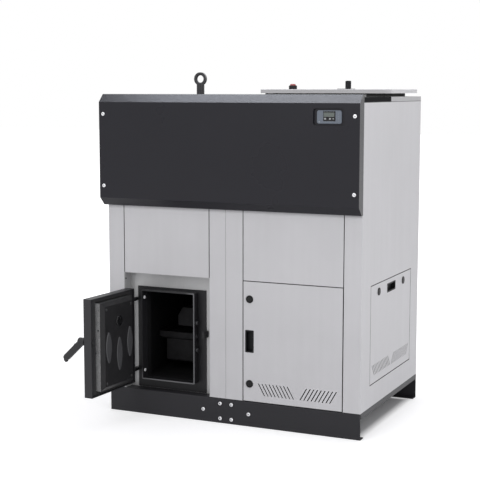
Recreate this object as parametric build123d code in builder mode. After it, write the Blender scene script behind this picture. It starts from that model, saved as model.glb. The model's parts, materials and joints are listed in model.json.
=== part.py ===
"""Pellet boiler of two modules: a steel boiler with a fire door on the left, and a
pellet hopper with its feed auger, burner and fan on the right.

All sizes are in millimetres. +X is the boiler's right, +Y its back and +Z up. The origin is
on the floor, in the middle of the front foot flange, on the casing's centre line.
"""

import os
from math import atan2, cos, degrees, radians, sin, sqrt

from build123d import *

os.makedirs("parts", exist_ok=True)

LOW = (Align.MIN, Align.MIN)
MID_LOW = (Align.CENTER, Align.MIN)

# Driving sizes: the casing
casing_width = 1080.0
casing_depth = 720.0
casing_top = 1262.0
boiler_module_width = 523.0
sheet = 1.5
stile_width = 70.0
hopper_stile_width = 73.0
stile_lip = 15.0
panel_gap = 2.5
rear_return = 22.0
rear_lap = 12.0
connection_clearance = 1.0
top_return = 20.0

# Driving sizes: the base frames
base_height = 100.0
foot_flange = 40.0
niche_floor_depth = 84.0
rail_thickness = 3.0
rail_bend = 4.0
side_rail_height = 20.0
side_rail_width = 40.0
joint_plate_width = 240.0
joint_plate_thickness = 6.0
bolt_head_radius = 7.5
bolt_head_height = 5.0
bolt_radius = 4.8
bolt_clearance = 0.2
bolt_pair_x = 24.5
bolt_outer_x = 98.5
bolt_pair_z = 30.0

# Driving sizes: the header fascia
header_depth = 46.0
header_height = 441.0
header_rise = 10.0
header_bevel = 31.0
header_sheet = 2.0
header_overhang_left = 11.0
header_overhang_right = 1.0
header_lip_depth = 20.0
header_screw_inset = 19.0
header_screw_drop = 78.0
header_screw_rise = 79.0
header_screw_radius = 3.0
header_spacer_radius = 6.0
header_head_radius = 7.5
header_head_height = 3.0
header_nut_radius = 6.0
header_nut_height = 5.0
front_panel_rise = 51.0
cover_height = 18.0

# Driving sizes: the controller
pocket_width = 123.0
pocket_height = 63.0
pocket_depth = 8.0
pocket_corner = 12.0
pocket_from_right = 118.5
pocket_drop = 81.5
face_width = 96.0
face_height = 49.0
face_thickness = 4.5
face_corner = 8.0
window_width = 47.0
window_height = 36.0
window_proud = 0.6
window_shift = 0.7
window_rise = 3.0
window_gap = 0.2
face_edge = 1.5
key_drop = 6.5
key_shifts = {
    "key_left": (-15.3, 7.0, 6.0),
    "key_middle": (3.7, 7.0, 6.0),
    "key_right": (16.1, 5.0, 4.0),
}
key_well = 3.0
key_edge = 0.5
key_travel = 0.8
key_proud = 1.4
key_gap = 0.3

# Driving sizes: the service door in the hopper module's front
service_door_top = 574.5
service_door_bottom = 103.0
service_hinge_gap = 3.0
service_door_depth = 14.0
pivot_inset = 6.0
pivot_setback = 5.5
pivot_radius = 3.0
pin_clearance = 0.05
pivot_plate = 2.5
pivot_plate_width = 34.0
lock_head_radius = 15.0
lock_head_height = 3.0
lock_neck_radius = 11.0
lock_core_radius = 8.0
lock_cam_length = 38.0
lock_cam_width = 14.0
lock_cam_thickness = 3.0
lock_inset = 27.0
lock_spread = 333.4
pull_width = 36.0
pull_height = 88.0
pull_depth = 18.0
pull_wall = 2.0
pull_flange = 2.0
pull_proud = 1.0
pull_corner = 3.0
pull_edge = 0.6
pull_lip = 3.0
pull_shift = 0.5
pull_rise = 1.25
door_sheet_rounding = 1.2
pivot_pin = 6.0
pivot_plate_depth = 30.0
lock_neck_length = 13.0
lock_nut_radius = 15.0
lock_nut_height = 4.0
lock_cam_depth = 15.5
lock_slot_length = 11.0
lock_slot_width = 2.4
lock_slot_depth = 2.0
vent_pitch = 15.1
vent_count = 9
vent_rise = 47.0
vent_lean = 26.5
vent_slot = 4.2
vent_foot_z = 130.0
vent_reach = 140.2
vent_middle_gap = 49.3

# Driving sizes: the side door in the hopper module's right side
side_door_front_margin = 107.0
side_door_rear_margin = 106.0
side_door_bottom = 188.5
side_door_height = 381.0
side_door_depth = 12.0
side_opening_gap = 2.5
side_hook_width = 60.0
side_hook_inset = 60.0
side_hook_rise = 8.0
side_hook_sheet = 2.0
side_vent_middle_gap = 20.6
side_lock_inset = 93.0
side_pull_start = 197.0
side_hook_drop = 14.0
seat_clearance = 0.3
side_lock_drop = 32.0
side_lock_spread = 309.5
side_pull_length = 104.0
side_pull_height = 36.0
side_pull_drop = 17.0
side_vent_count = 13
side_vent_rise = 42.0
side_vent_lean = 30.0
side_vent_foot = 30.0
side_vent_margin = 20.0

# Driving sizes: the niche and the door frame
niche_depth = 50.0
niche_top = 577.0
window_margin = 1.5
opening_width = 240.0
opening_height = 367.0
opening_centre_z = 325.0
collar_wall = 5.0
collar_reach = 40.5
door_collar_gap = 2.0
left_screw_spread = 150.0
right_screw_spread = 55.0
right_screw_rise = 8.5
frame_screw_radius = 3.0
frame_head_radius = 7.0
frame_head_height = 3.0
frame_knob_radius = 9.0
frame_knob_height = 8.0
frame_nut_radius = 6.0
frame_nut_height = 4.0
lug_foot = 6.0
lug_foot_length = 23.0
catch_hold = 7.0
catch_gap = 1.5
catch_clearance = 1.0
catch_plate = 3.0
catch_height = 26.0
catch_drop = 7.0
catch_foot = 10.0
collar_corner = 6.0
frame_plate_width = 308.0
frame_plate_bottom = 102.0
frame_plate_top = 517.0
frame_plate = 4.5

# Driving sizes: the fire door
door_width = 300.0
door_height = 384.0
door_thickness = 28.0
door_skin = 4.0
door_edge_gap = 2.0
door_open_angle = 93.5
door_hinge_inset = 10.0
door_hinge_setback = 6.0
door_rounding = 3.0
door_lip = 3.0
door_lip_rise = 8.0
knuckle_arm = 10.0
door_pin_radius = 5.0
knuckle_radius = 9.5
knuckle_length = 26.0
lug_height = 12.0
lug_radius = 8.0
hinge_half_spread = 145.0
block_width = 220.0
block_height = 344.0
block_reach = 21.0
seal_width = 14.0
seal_depth = 9.0
seal_proud = 1.6
seal_rounding = 2.5
block_clearance = 0.2
plate_bevel_width = 15.0
plate_bevel_height = 13.0
plate_thickness = 3.0
bead_length = 134.0
middle_bead_length = 146.0
bead_width = 37.0
bead_tip = 6.0
bead_height = 4.0
bead_rounding = 2.5
plate_screw_radius = 2.5
plate_head_radius = 5.0
plate_head_height = 3.0
sight_ring_height = 5.0
sight_glass = 2.0
bead_pitch = 72.5
outer_bead_drop = 5.0
middle_bead_drop = 40.0
sight_height = 90.0
sight_ring_radius = 21.0
sight_bore_radius = 12.0
plate_screw_x = 85.0
plate_screw_z = 145.0
handle_edge = 11.5
handle_z = 350.0
spindle_radius = 8.0
handle_boss_radius = 15.0
lever_reach = 92.0
lever_drop = 86.0
lever_width = 25.0
lever_thickness = 20.0
cam_length = 20.0
cam_width = 12.0
cam_thickness = 5.0
cam_lift = 0.5
cam_hub_radius = 8.0
handle_boss_length = 28.0
handle_rounding = 3.0
lever_length = 100.0
lever_rounding = 4.0
lever_lump_radius = 5.0
lever_foot_length = 8.0
lever_foot_width = 14.0

# Driving sizes: the boiler body
body_side_gap = 35.0
body_rear_gap = 60.0
body_top_room = 62.0
plate = 5.0
firebox_width = 300.0
firebox_front = 60.0
firebox_rear_room = 120.0
firebox_floor = 42.0
firebox_height = 420.0
tube_outer_radius = 25.5
tube_bore_radius = 22.5
tube_columns = 4
tube_rows = 3
tube_pitch = 80.0
smoke_box_top_room = 30.0
smoke_box_height = 170.0
smoke_box_front = 150.0
smoke_box_rear_room = 70.0
cleaning_width = 260.0
cleaning_post_gap = 14.0
cleaning_margin = 20.0
cleaning_plate = 6.0
cleaning_plug = 20.0
cleaning_nut_radius = 9.0
cleaning_nut_height = 8.0
cleaning_grip_length = 120.0
cleaning_grip_width = 10.0
cleaning_grip_height = 34.0
turbulator_half_width = 18.0
turbulator_sheet = 2.0
turbulator_length = 380.0
turbulator_fins = 3
turbulator_fin_pitch = 110.0
turbulator_fin_width = 20.0
turbulator_fin_reach = 14.0
turbulator_lap = 6.0
turbulator_bar_width = 8.0
turbulator_bar = 4.0
flue_radius = 75.0
flue_margin = 15.0
socket_field = 40.0
flue_wall = 2.0
flue_reach = 62.0
flue_flange = 20.0
flue_bead_gap = 1.0
flue_bead = 5.0
flue_bead_rise = 4.0
socket_outer_radius = 27.0
socket_bore_radius = 19.6
socket_reach = 14.0
flow_drop = 80.0
return_rise = 90.0
drain_radius = 9.0
drain_outer_radius = 14.0
drain_rise = 21.0
connection_inset = 75.0
flue_drop = 115.0
post_radius = 16.0
post_weld = 5.0
eye_sink = 6.0
eye_rounding = 4.0
eye_rise = 71.0
eye_outer_radius = 27.0
eye_bore_radius = 15.0
eye_thickness = 12.0
eye_y = 290.0

# Driving sizes: the burner and its fan
burner_width = 200.0
burner_bottom = 182.0
burner_height = 95.0
burner_reach = 368.0
burner_drive_reach = 117.0
burner_centre_y = 280.0
burner_wall = 4.0
burner_corner = 8.0
air_hole_radius = 4.0
air_hole_pitch = 26.0
air_hole_rows = 5
tray_step = 6.0
tray_corner = 6.0
hood_flange = 12.0
duct_rise = 8.0
fan_inlet_lip = 6.0
motor_rounding = 4.0
motor_bearing = 25.0
impeller_gap = 8.0
impeller_disc = 3.0
blade_middle_radius = 42.0
blade_length = 36.0
blade_angle = 35.0
impeller_hub_radius = 12.0
impeller_hub_length = 24.0
burner_flange = 5.0
burner_flange_margin = 26.0
tray_reach = 401.0
tray_length = 208.0
tray_overhang = 10.0
tray_height = 29.0
tray_wall = 5.0
hood_reach = 324.0
hood_drive_reach = 147.0
hood_bottom = 330.0
hood_top = 406.0
hood_width = 160.0
hood_chamfer_x = 20.0
hood_chamfer_z = 34.0
tunnel_margin = 9.0
fan_radius = 78.0
fan_width = 64.0
fan_wall = 3.0
fan_reach = 213.0
fan_centre_z = 207.0
fan_inlet_radius = 32.0
impeller_radius = 62.0
impeller_width = 42.0
blade_count = 10
motor_radius = 32.0
motor_length = 52.0
motor_shaft_radius = 5.0

# Driving sizes: the pellet feed
auger_z = 520.0
auger_inset = 63.0
auger_drive_inset = 116.0
auger_tube_radius = 38.0
auger_tube_wall = 2.0
auger_end = 4.0
auger_flange_reach = 8.0
flight_end_gap = 6.0
flight_root = 1.0
shaft_drive_length = 36.0
chute_radius = 26.0
gearbox_corner = 6.0
gear_motor_offset = 10.0
flight_radius = 34.0
flight_pitch = 60.0
flight_thickness = 4.0
auger_shaft_radius = 10.0
chute_inset = 105.0
throat_length = 124.0
throat_width = 64.0
throat_shift = 0.5
throat_flange = 4.0
throat_lap = 12.0
gearbox_length = 46.0
gearbox_width = 84.0
gear_motor_radius = 30.0
gear_motor_length = 92.0

# Driving sizes: the hopper and its lid
hopper_wall = 2.0
hopper_margin = 22.0
hopper_front_margin = 25.0
hopper_rear_margin = 35.0
hopper_bend_z = 900.0
hopper_rim_gap = 1.0
front_cover_depth = 320.0
mouth_inset_left = 52.0
mouth_inset_right = 35.0
mouth_setback = 15.0
mouth_rear_margin = 110.0
neck_width = 12.0
lid_setback_front = 5.0
lid_rear_margin = 55.0
lid_inset = 2.0
lid_corner = 4.0
lid_edge = 1.4
buffer_inset = 20.0
buffer_setback = 5.0
buffer_length = 50.0
buffer_width = 20.0
lid_gap = 13.0
lid_height = 16.0
lid_setback = 7.0
lid_axis_rise = 12.0
lid_pin_radius = 3.0
lid_barrel_radius = 5.5
lid_barrel_length = 22.0
lid_ear = 4.0
lid_hinge_inset = 60.0
fitting_setback = 45.0
knob_from_right = 193.0
knob_radius = 11.5
knob_height = 31.0
knob_grips = 6
knob_crown = 4.0
knob_grip_radius = 3.0
knob_stem_radius = 6.0
knob_cam_length = 32.0
knob_cam_width = 14.0
knob_cam_thickness = 3.0
knob_plate_shift = 8.0
knob_plate_length = 66.0
knob_plate_width = 30.0
knob_plate_corner = 3.0
knob_plate_thickness = 2.0
button_inset = 128.0
button_base_radius = 16.5
button_radius = 12.0
button_base_height = 15.0
button_base_bevel = 2.0
button_rise = 6.0
button_edge = 5.0
button_stop = 3.0
running_clearance = 0.3

# Levels and faces that the driving sizes give
front_y = -foot_flange / 2
rear_y = front_y + casing_depth
left_x = -casing_width / 2
right_x = casing_width / 2
seam_x = left_x + boiler_module_width
cover_top = casing_top + cover_height
boiler_seams = (left_x + stile_width, seam_x - stile_width)
hopper_seams = (seam_x + hopper_stile_width, right_x - stile_width)
niche_centre_x = (boiler_seams[0] + boiler_seams[1]) / 2
niche_back = front_y + niche_depth
header_top = cover_top + header_rise
header_bottom = header_top - header_height
pocket_centre_x = right_x - pocket_from_right
pocket_centre_z = header_top - pocket_drop
front_cover_back = front_y + front_cover_depth
mouth_left = seam_x + mouth_inset_left
mouth_right = right_x - mouth_inset_right
mouth_front = front_cover_back + mouth_setback
mouth_rear = rear_y - mouth_rear_margin
lid_left = seam_x + lid_inset
lid_front = front_cover_back + lid_setback_front
lid_rear = rear_y - lid_rear_margin
lid_bottom = cover_top + lid_gap
lid_top = lid_bottom + lid_height
fitting_y = front_cover_back + fitting_setback
knob_x = right_x - knob_from_right
knob_plate_x = knob_x - knob_plate_shift
button_x = seam_x + button_inset
body_bottom = base_height
body_top = casing_top - body_top_room
flue_z = body_top - flue_drop
flow_z = body_top - flow_drop
return_z = body_bottom + return_rise
drain_z = body_bottom + drain_rise
connection_x = left_x + connection_inset
eye_centre_z = cover_top + eye_rise
burner_left = seam_x - burner_reach
burner_right = seam_x + burner_drive_reach
tray_left = seam_x - tray_reach
tray_right = tray_left + tray_length
hood_left = seam_x - hood_reach
hood_right = seam_x + hood_drive_reach
fan_centre_x = seam_x + fan_reach
auger_left = seam_x + auger_inset
auger_right = right_x - auger_drive_inset
chute_x = seam_x + chute_inset
throat_centre_x = (seam_x + right_x) / 2 + throat_shift
side_door_front = front_y + side_door_front_margin
side_door_length = casing_depth - side_door_front_margin - side_door_rear_margin


def up(z):
    """Level plane at height z, sketched from above."""
    return Plane.XY.offset(z)


def facing_front(y):
    """Upright plane at depth y: sketch x is +X and sketch y is +Z, extrude goes forward."""
    return Plane.XZ.offset(-y)


def facing_right(x):
    """Upright plane at x: sketch x is +Y and sketch y is +Z, extrude goes to the right."""
    return Plane.YZ.offset(x)


def rectangle_between(x_low, y_low, x_high, y_high):
    """Rectangle in the sketch at hand, given by its two corners."""
    with Locations((x_low, y_low)):
        Rectangle(x_high - x_low, y_high - y_low, align=LOW)


def cut_between(x_low, y_low, x_high, y_high):
    """The same rectangle, taken out of the sketch at hand."""
    with Locations((x_low, y_low)):
        Rectangle(x_high - x_low, y_high - y_low, align=LOW, mode=Mode.SUBTRACT)


def beside(middle, half_width):
    """The planes that cut off what lies left and right of a window."""
    return -facing_right(middle - half_width), facing_right(middle + half_width)


def below_and_above(low, high):
    """The planes that cut off what lies below and above a window."""
    return -up(low), up(high)


def cut_apart(whole, *planes):
    """Plates of a welded piece: each plane cuts off what it faces, and the rest comes last."""
    plates = []
    for plane in planes:
        plates.extend(split(whole, bisect_by=plane, keep=Keep.TOP).solids())
        whole = split(whole, bisect_by=plane, keep=Keep.BOTTOM)
    return plates + list(whole.solids())


def cut_box_apart(whole, y_low, z_low, y_high, z_high):
    """A box's walls, cut along its inner faces: bottom, top, front, rear, left, right."""
    *walls, one, other = cut_apart(
        whole, -up(z_low), up(z_high), facing_front(y_low), -facing_front(y_high)
    )
    return walls + sorted((one, other), key=lambda wall: wall.center().X)


def cut_in_wedges(ring, x, z):
    """Eight wedges of a ring whose bore runs from front to rear at x and z."""
    wedges = [ring]
    for turn in (0, 45, 90, 135):
        across = Plane(origin=(x, 0, z), x_dir=(0, 1, 0), z_dir=Vector(1, 0, 0).rotate(Axis.Y, turn))
        wedges = [
            half
            for wedge in wedges
            for half in split(wedge, bisect_by=across, keep=Keep.BOTH).solids()
        ]
    return wedges


# Base frames

joint_bolts = [
    (seam_x + side * x, base_height / 2 + z)
    for side in (-1, 1)
    for x, z in ((bolt_pair_x, bolt_pair_z), (bolt_pair_x, -bolt_pair_z), (bolt_outer_x, 0))
]
rail_web = base_height - 2 * rail_thickness


def rail_profile():
    """Front rail with its deep top flange, and the rear rail facing it, seen from the right."""
    rectangle_between(front_y, 0, front_y + rail_thickness, base_height)
    rectangle_between(front_y, 0, front_y + foot_flange, rail_thickness)
    rectangle_between(front_y, base_height - rail_thickness, front_y + niche_floor_depth, base_height)
    rectangle_between(rear_y - rail_thickness, 0, rear_y, base_height)
    rectangle_between(rear_y - foot_flange, 0, rear_y, rail_thickness)
    rectangle_between(rear_y - niche_floor_depth, base_height - rail_thickness, rear_y, base_height)


def side_rails(x_low, x_high):
    """Angle rails that join the front and rear rails of one module, seen from the front."""
    flange_z = base_height - rail_thickness
    web_z = base_height - side_rail_height
    rectangle_between(x_low, flange_z, x_low + side_rail_width, base_height)
    rectangle_between(x_low, web_z, x_low + rail_thickness, base_height)
    rectangle_between(x_high - side_rail_width, flange_z, x_high, base_height)
    rectangle_between(x_high - rail_thickness, web_z, x_high, base_height)


side_rail_front = front_y + rail_thickness + joint_plate_thickness
side_rail_length = casing_depth - 2 * (rail_thickness + joint_plate_thickness)
bolt_hole = bolt_radius + bolt_clearance

with BuildPart() as boiler_base_frame:
    with BuildSketch(facing_right(left_x)):
        rail_profile()
    extrude(amount=boiler_module_width)
    front_bends = boiler_base_frame.edges().filter_by(Axis.X).group_by(Axis.Y)[0]
    fillet(front_bends, rail_bend)
    with BuildSketch(facing_front(side_rail_front)):
        side_rails(left_x, seam_x)
    extrude(amount=-side_rail_length)
    with BuildSketch(facing_front(front_y)):
        with Locations(*[spot for spot in joint_bolts if spot[0] < seam_x]):
            Circle(bolt_hole)
    extrude(amount=-casing_depth, mode=Mode.SUBTRACT)
boiler_base_frame.part.label = "boiler_base_frame"
export_step(boiler_base_frame.part, "parts/boiler_base_frame.step")

with BuildPart() as hopper_base_frame:
    with BuildSketch(facing_right(seam_x)):
        rail_profile()
    extrude(amount=right_x - seam_x)
    front_bends = hopper_base_frame.edges().filter_by(Axis.X).group_by(Axis.Y)[0]
    fillet(front_bends, rail_bend)
    with BuildSketch(facing_front(side_rail_front)):
        side_rails(seam_x, right_x)
    extrude(amount=-side_rail_length)
    for back in (side_rail_front, rear_y - rail_thickness):
        with BuildSketch(facing_front(back)):
            with Locations((seam_x, rail_thickness)):
                Rectangle(joint_plate_width, rail_web, align=MID_LOW)
        extrude(amount=joint_plate_thickness)
    with BuildSketch(facing_front(front_y)):
        with Locations(*joint_bolts):
            Circle(bolt_hole)
    extrude(amount=-casing_depth, mode=Mode.SUBTRACT)
hopper_base_frame.part.label = "hopper_base_frame"
export_step(hopper_base_frame.part, "parts/hopper_base_frame.step")

bolt_length = rail_thickness + joint_plate_thickness
nut_height = 8.0
nut_radius = 9.0
socket_radius = 3.0
with BuildPart() as base_bolts:
    for outer, inner, outward in (
        (front_y, front_y + bolt_length, 1),
        (rear_y, rear_y - bolt_length, -1),
    ):
        with BuildSketch(facing_front(outer)):
            with Locations(*joint_bolts):
                Circle(bolt_head_radius)
        extrude(amount=outward * bolt_head_height)
        with BuildSketch(facing_front(outer)):
            with Locations(*joint_bolts):
                Circle(bolt_radius)
        extrude(amount=-outward * (bolt_length + nut_height))
        with BuildSketch(facing_front(inner)):
            with Locations(*joint_bolts):
                RegularPolygon(nut_radius, 6)
        extrude(amount=-outward * nut_height)
        with BuildSketch(facing_front(outer - outward * bolt_head_height)):
            with Locations(*joint_bolts):
                RegularPolygon(socket_radius, 6)
        extrude(amount=-outward * bolt_head_height * 0.6, mode=Mode.SUBTRACT)
    rims = base_bolts.edges().filter_by(GeomType.CIRCLE)
    head_rims = [e for e in rims if abs(e.radius - bolt_head_radius) < 0.01
                 and not front_y < e.center().Y < rear_y
                 and abs(e.center().Y - front_y) > 1 and abs(e.center().Y - rear_y) > 1]
    chamfer(head_rims, bolt_head_height / 3)
base_bolts.part.label = "base_bolts"
export_step(base_bolts.part, "parts/base_bolts.step")

# Casing side panels

panel_height = casing_top - base_height
header_face = front_y - header_depth
header_left = left_x - header_overhang_left
header_right = right_x + header_overhang_right
header_screws_at = [
    (x, z)
    for x in (header_left + header_screw_inset, header_right - header_screw_inset)
    for z in (header_top - header_screw_drop, header_bottom + header_screw_rise)
]


def side_panel_plan(face_x, inward, stile):
    """Plan of a side panel: flat side, front stile with its lip, and a rear return."""
    x_low, x_high = sorted((face_x, face_x + inward * sheet))
    rectangle_between(x_low, front_y, x_high, rear_y)
    x_low, x_high = sorted((face_x, face_x + inward * stile))
    rectangle_between(x_low, front_y, x_high, front_y + sheet)
    x_low, x_high = sorted((face_x + inward * (stile - sheet), face_x + inward * stile))
    rectangle_between(x_low, front_y, x_high, front_y + stile_lip)
    x_low, x_high = sorted((face_x, face_x + inward * rear_return))
    rectangle_between(x_low, rear_y - sheet, x_high, rear_y)


def side_panel_return(face_x, inward):
    """Plan of the return that is folded in along the top of a side panel."""
    x_low, x_high = sorted((face_x, face_x + inward * top_return))
    rectangle_between(x_low, front_y, x_high, rear_y)


def panel_bends(panel, face_x, stile_x):
    """The upright outer bends of a side panel, at its face and at the stile's lip."""
    upright = panel.edges().filter_by(Axis.Z)
    front = upright.group_by(Axis.Y)[0]
    return [e for e in front if min(abs(e.center().X - face_x), abs(e.center().X - stile_x)) < 0.1]


with BuildPart() as boiler_outer_side_panel:
    with BuildSketch(up(base_height)):
        side_panel_plan(left_x, 1, stile_width)
    extrude(amount=panel_height)
    fillet(panel_bends(boiler_outer_side_panel, left_x, boiler_seams[0]), sheet * 0.9)
    with BuildSketch(up(casing_top - sheet)):
        side_panel_return(left_x, 1)
    extrude(amount=sheet)
    with BuildSketch(facing_front(front_y)):
        with Locations(*[spot for spot in header_screws_at if spot[0] < seam_x]):
            Circle(header_screw_radius + bolt_clearance)
    extrude(amount=-sheet, mode=Mode.SUBTRACT)
boiler_outer_side_panel.part.label = "boiler_outer_side_panel"
export_step(boiler_outer_side_panel.part, "parts/boiler_outer_side_panel.step")

# The burner passes through both inner side panels by one tunnel
burner_flange_bottom = burner_bottom - burner_flange_margin
burner_flange_height = hood_top + burner_flange_margin - burner_flange_bottom
tunnel_width = burner_width + 2 * tunnel_margin
tunnel_bottom = burner_bottom - tunnel_margin
tunnel_top = hood_top + tunnel_margin


def tunnel_outline():
    """Outline of the burner's way through the module walls, seen from the right."""
    rectangle_between(
        burner_centre_y - tunnel_width / 2,
        tunnel_bottom,
        burner_centre_y + tunnel_width / 2,
        tunnel_top,
    )


with BuildPart() as boiler_inner_side_panel:
    with BuildSketch(up(base_height)):
        side_panel_plan(seam_x, -1, stile_width)
    extrude(amount=panel_height)
    fillet(panel_bends(boiler_inner_side_panel, seam_x, boiler_seams[1]), sheet * 0.9)
    with BuildSketch(up(casing_top - sheet)):
        side_panel_return(seam_x, -1)
    extrude(amount=sheet)
    with BuildSketch(facing_right(seam_x)):
        tunnel_outline()
    extrude(amount=-sheet, mode=Mode.SUBTRACT)
boiler_inner_side_panel.part.label = "boiler_inner_side_panel"
export_step(boiler_inner_side_panel.part, "parts/boiler_inner_side_panel.step")

with BuildPart() as hopper_inner_side_panel:
    with BuildSketch(up(base_height)):
        side_panel_plan(seam_x, 1, hopper_stile_width)
    extrude(amount=panel_height)
    fillet(panel_bends(hopper_inner_side_panel, seam_x, hopper_seams[0]), sheet * 0.9)
    with BuildSketch(up(casing_top - sheet)):
        side_panel_return(seam_x, 1)
    extrude(amount=sheet)
    with BuildSketch(facing_right(seam_x)):
        tunnel_outline()
    extrude(amount=sheet, mode=Mode.SUBTRACT)
hopper_inner_side_panel.part.label = "hopper_inner_side_panel"
export_step(hopper_inner_side_panel.part, "parts/hopper_inner_side_panel.step")

side_opening = (
    side_door_front - side_opening_gap,
    side_door_bottom - side_opening_gap,
    side_door_front + side_door_length + side_opening_gap,
    side_door_bottom + side_door_height + side_opening_gap,
)
side_lip_depth = side_door_depth

with BuildPart() as hopper_outer_side_panel:
    with BuildSketch(up(base_height)):
        side_panel_plan(right_x, -1, stile_width)
    extrude(amount=panel_height)
    fillet(panel_bends(hopper_outer_side_panel, right_x, hopper_seams[1]), sheet * 0.9)
    with BuildSketch(up(casing_top - sheet)):
        side_panel_return(right_x, -1)
    extrude(amount=sheet)
    with BuildSketch(facing_right(right_x)):
        low_y, low_z, high_y, high_z = side_opening
        rectangle_between(low_y - sheet, low_z - sheet, high_y + sheet, high_z + sheet)
    extrude(amount=-side_lip_depth)
    with BuildSketch(facing_right(right_x)):
        rectangle_between(*side_opening)
    extrude(amount=-side_lip_depth, mode=Mode.SUBTRACT)
    with BuildSketch(facing_front(front_y)):
        with Locations(*[spot for spot in header_screws_at if spot[0] > seam_x]):
            Circle(header_screw_radius + bolt_clearance)
    extrude(amount=-sheet, mode=Mode.SUBTRACT)
hopper_outer_side_panel.part.label = "hopper_outer_side_panel"
export_step(hopper_outer_side_panel.part, "parts/hopper_outer_side_panel.step")

# Fixed front panels above the niche and above the service door

front_panel_top = header_bottom + front_panel_rise
front_panel_depth = stile_lip + sheet
panel_hook = panel_gap + 3 * sheet


def front_panel_plan(seams):
    """Plan of a front panel: face, two side flanges, and hooks behind the stiles' lips."""
    x_left = seams[0] + panel_gap
    x_right = seams[1] - panel_gap
    hook_y = front_y + stile_lip
    rectangle_between(x_left, front_y, x_right, front_y + sheet)
    rectangle_between(x_left, front_y, x_left + sheet, front_y + front_panel_depth)
    rectangle_between(x_right - sheet, front_y, x_right, front_y + front_panel_depth)
    rectangle_between(x_left - panel_hook, hook_y, x_left + sheet, hook_y + sheet)
    rectangle_between(x_right - sheet, hook_y, x_right + panel_hook, hook_y + sheet)


with BuildPart() as boiler_front_panel:
    with BuildSketch(up(niche_top)):
        front_panel_plan(boiler_seams)
    extrude(amount=front_panel_top - niche_top)
    fillet(boiler_front_panel.edges().filter_by(Axis.Z).group_by(Axis.Y)[0], sheet * 0.9)
    with BuildSketch(up(niche_top)):
        rectangle_between(
            boiler_seams[0] + panel_gap + sheet,
            front_y + sheet,
            boiler_seams[1] - panel_gap - sheet,
            front_y + stile_lip,
        )
    extrude(amount=sheet)
boiler_front_panel.part.label = "boiler_front_panel"
export_step(boiler_front_panel.part, "parts/boiler_front_panel.step")

with BuildPart() as hopper_front_panel:
    with BuildSketch(up(niche_top)):
        front_panel_plan(hopper_seams)
    extrude(amount=front_panel_top - niche_top)
    fillet(hopper_front_panel.edges().filter_by(Axis.Z).group_by(Axis.Y)[0], sheet * 0.9)
    with BuildSketch(up(niche_top)):
        rectangle_between(
            hopper_seams[0] + panel_gap + sheet,
            front_y + sheet,
            hopper_seams[1] - panel_gap - sheet,
            front_y + stile_lip,
        )
    extrude(amount=sheet)
hopper_front_panel.part.label = "hopper_front_panel"
export_step(hopper_front_panel.part, "parts/hopper_front_panel.step")

# Niche round the fire door: jambs, top and a back wall with a window

with BuildPart() as niche_surround:
    with BuildSketch(facing_front(front_y + sheet)):
        rectangle_between(boiler_seams[0], base_height, boiler_seams[1], niche_top)
    extrude(amount=-(niche_depth - sheet))
    with BuildSketch(facing_front(front_y + sheet)):
        rectangle_between(
            boiler_seams[0] + sheet, base_height, boiler_seams[1] - sheet, niche_top - sheet
        )
    extrude(amount=-(niche_depth - 2 * sheet), mode=Mode.SUBTRACT)
    with BuildSketch(facing_front(niche_back)):
        with Locations((niche_centre_x, opening_centre_z)):
            Rectangle(opening_width + 2 * window_margin, opening_height + 2 * window_margin)
    extrude(amount=sheet, mode=Mode.SUBTRACT)
niche_surround.part.label = "niche_surround"
export_step(niche_surround.part, "parts/niche_surround.step")

# Top covers: shallow pans that stand on the side panels

rim_left = seam_x + sheet + hopper_rim_gap
rim_right = right_x - sheet - hopper_rim_gap


def cover_pan(x_low, y_low, x_high, y_high):
    """Shallow pan, open below, with its top edges rounded."""
    with BuildPart() as pan:
        with BuildSketch(up(casing_top)):
            rectangle_between(x_low, y_low, x_high, y_high)
        extrude(amount=cover_height)
        fillet(pan.edges().group_by(Axis.Z)[-1], sheet)
        with BuildSketch(up(casing_top)):
            rectangle_between(x_low + sheet, y_low + sheet, x_high - sheet, y_high - sheet)
        extrude(amount=cover_height - sheet, mode=Mode.SUBTRACT)
    return pan.part


def hopper_cover_pan(y_low, y_high):
    """Cover pan of the hopper module, with room for the hopper's rim under its cross skirts."""
    shell = cover_pan(seam_x, y_low, right_x, y_high)
    with BuildPart() as pan:
        add(shell)
        with BuildSketch(up(casing_top)):
            rectangle_between(
                rim_left - seat_clearance,
                front_y + 2 * sheet,
                rim_right + seat_clearance,
                rear_y - 2 * sheet,
            )
        extrude(amount=hopper_wall + seat_clearance, mode=Mode.SUBTRACT)
    return pan.part


boiler_pan = cover_pan(left_x, front_y, seam_x, rear_y)
with BuildPart() as boiler_top_cover:
    add(boiler_pan)
    with BuildSketch(up(casing_top)):
        with Locations((niche_centre_x, eye_y)):
            Circle(post_radius + running_clearance)
    extrude(amount=cover_height, mode=Mode.SUBTRACT)
boiler_top_cover.part.label = "boiler_top_cover"
export_step(boiler_top_cover.part, "parts/boiler_top_cover.step")

front_hopper_pan = hopper_cover_pan(front_y, front_cover_back)
with BuildPart() as hopper_front_top_cover:
    add(front_hopper_pan)
hopper_front_top_cover.part.label = "hopper_front_top_cover"
export_step(hopper_front_top_cover.part, "parts/hopper_front_top_cover.step")

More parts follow.
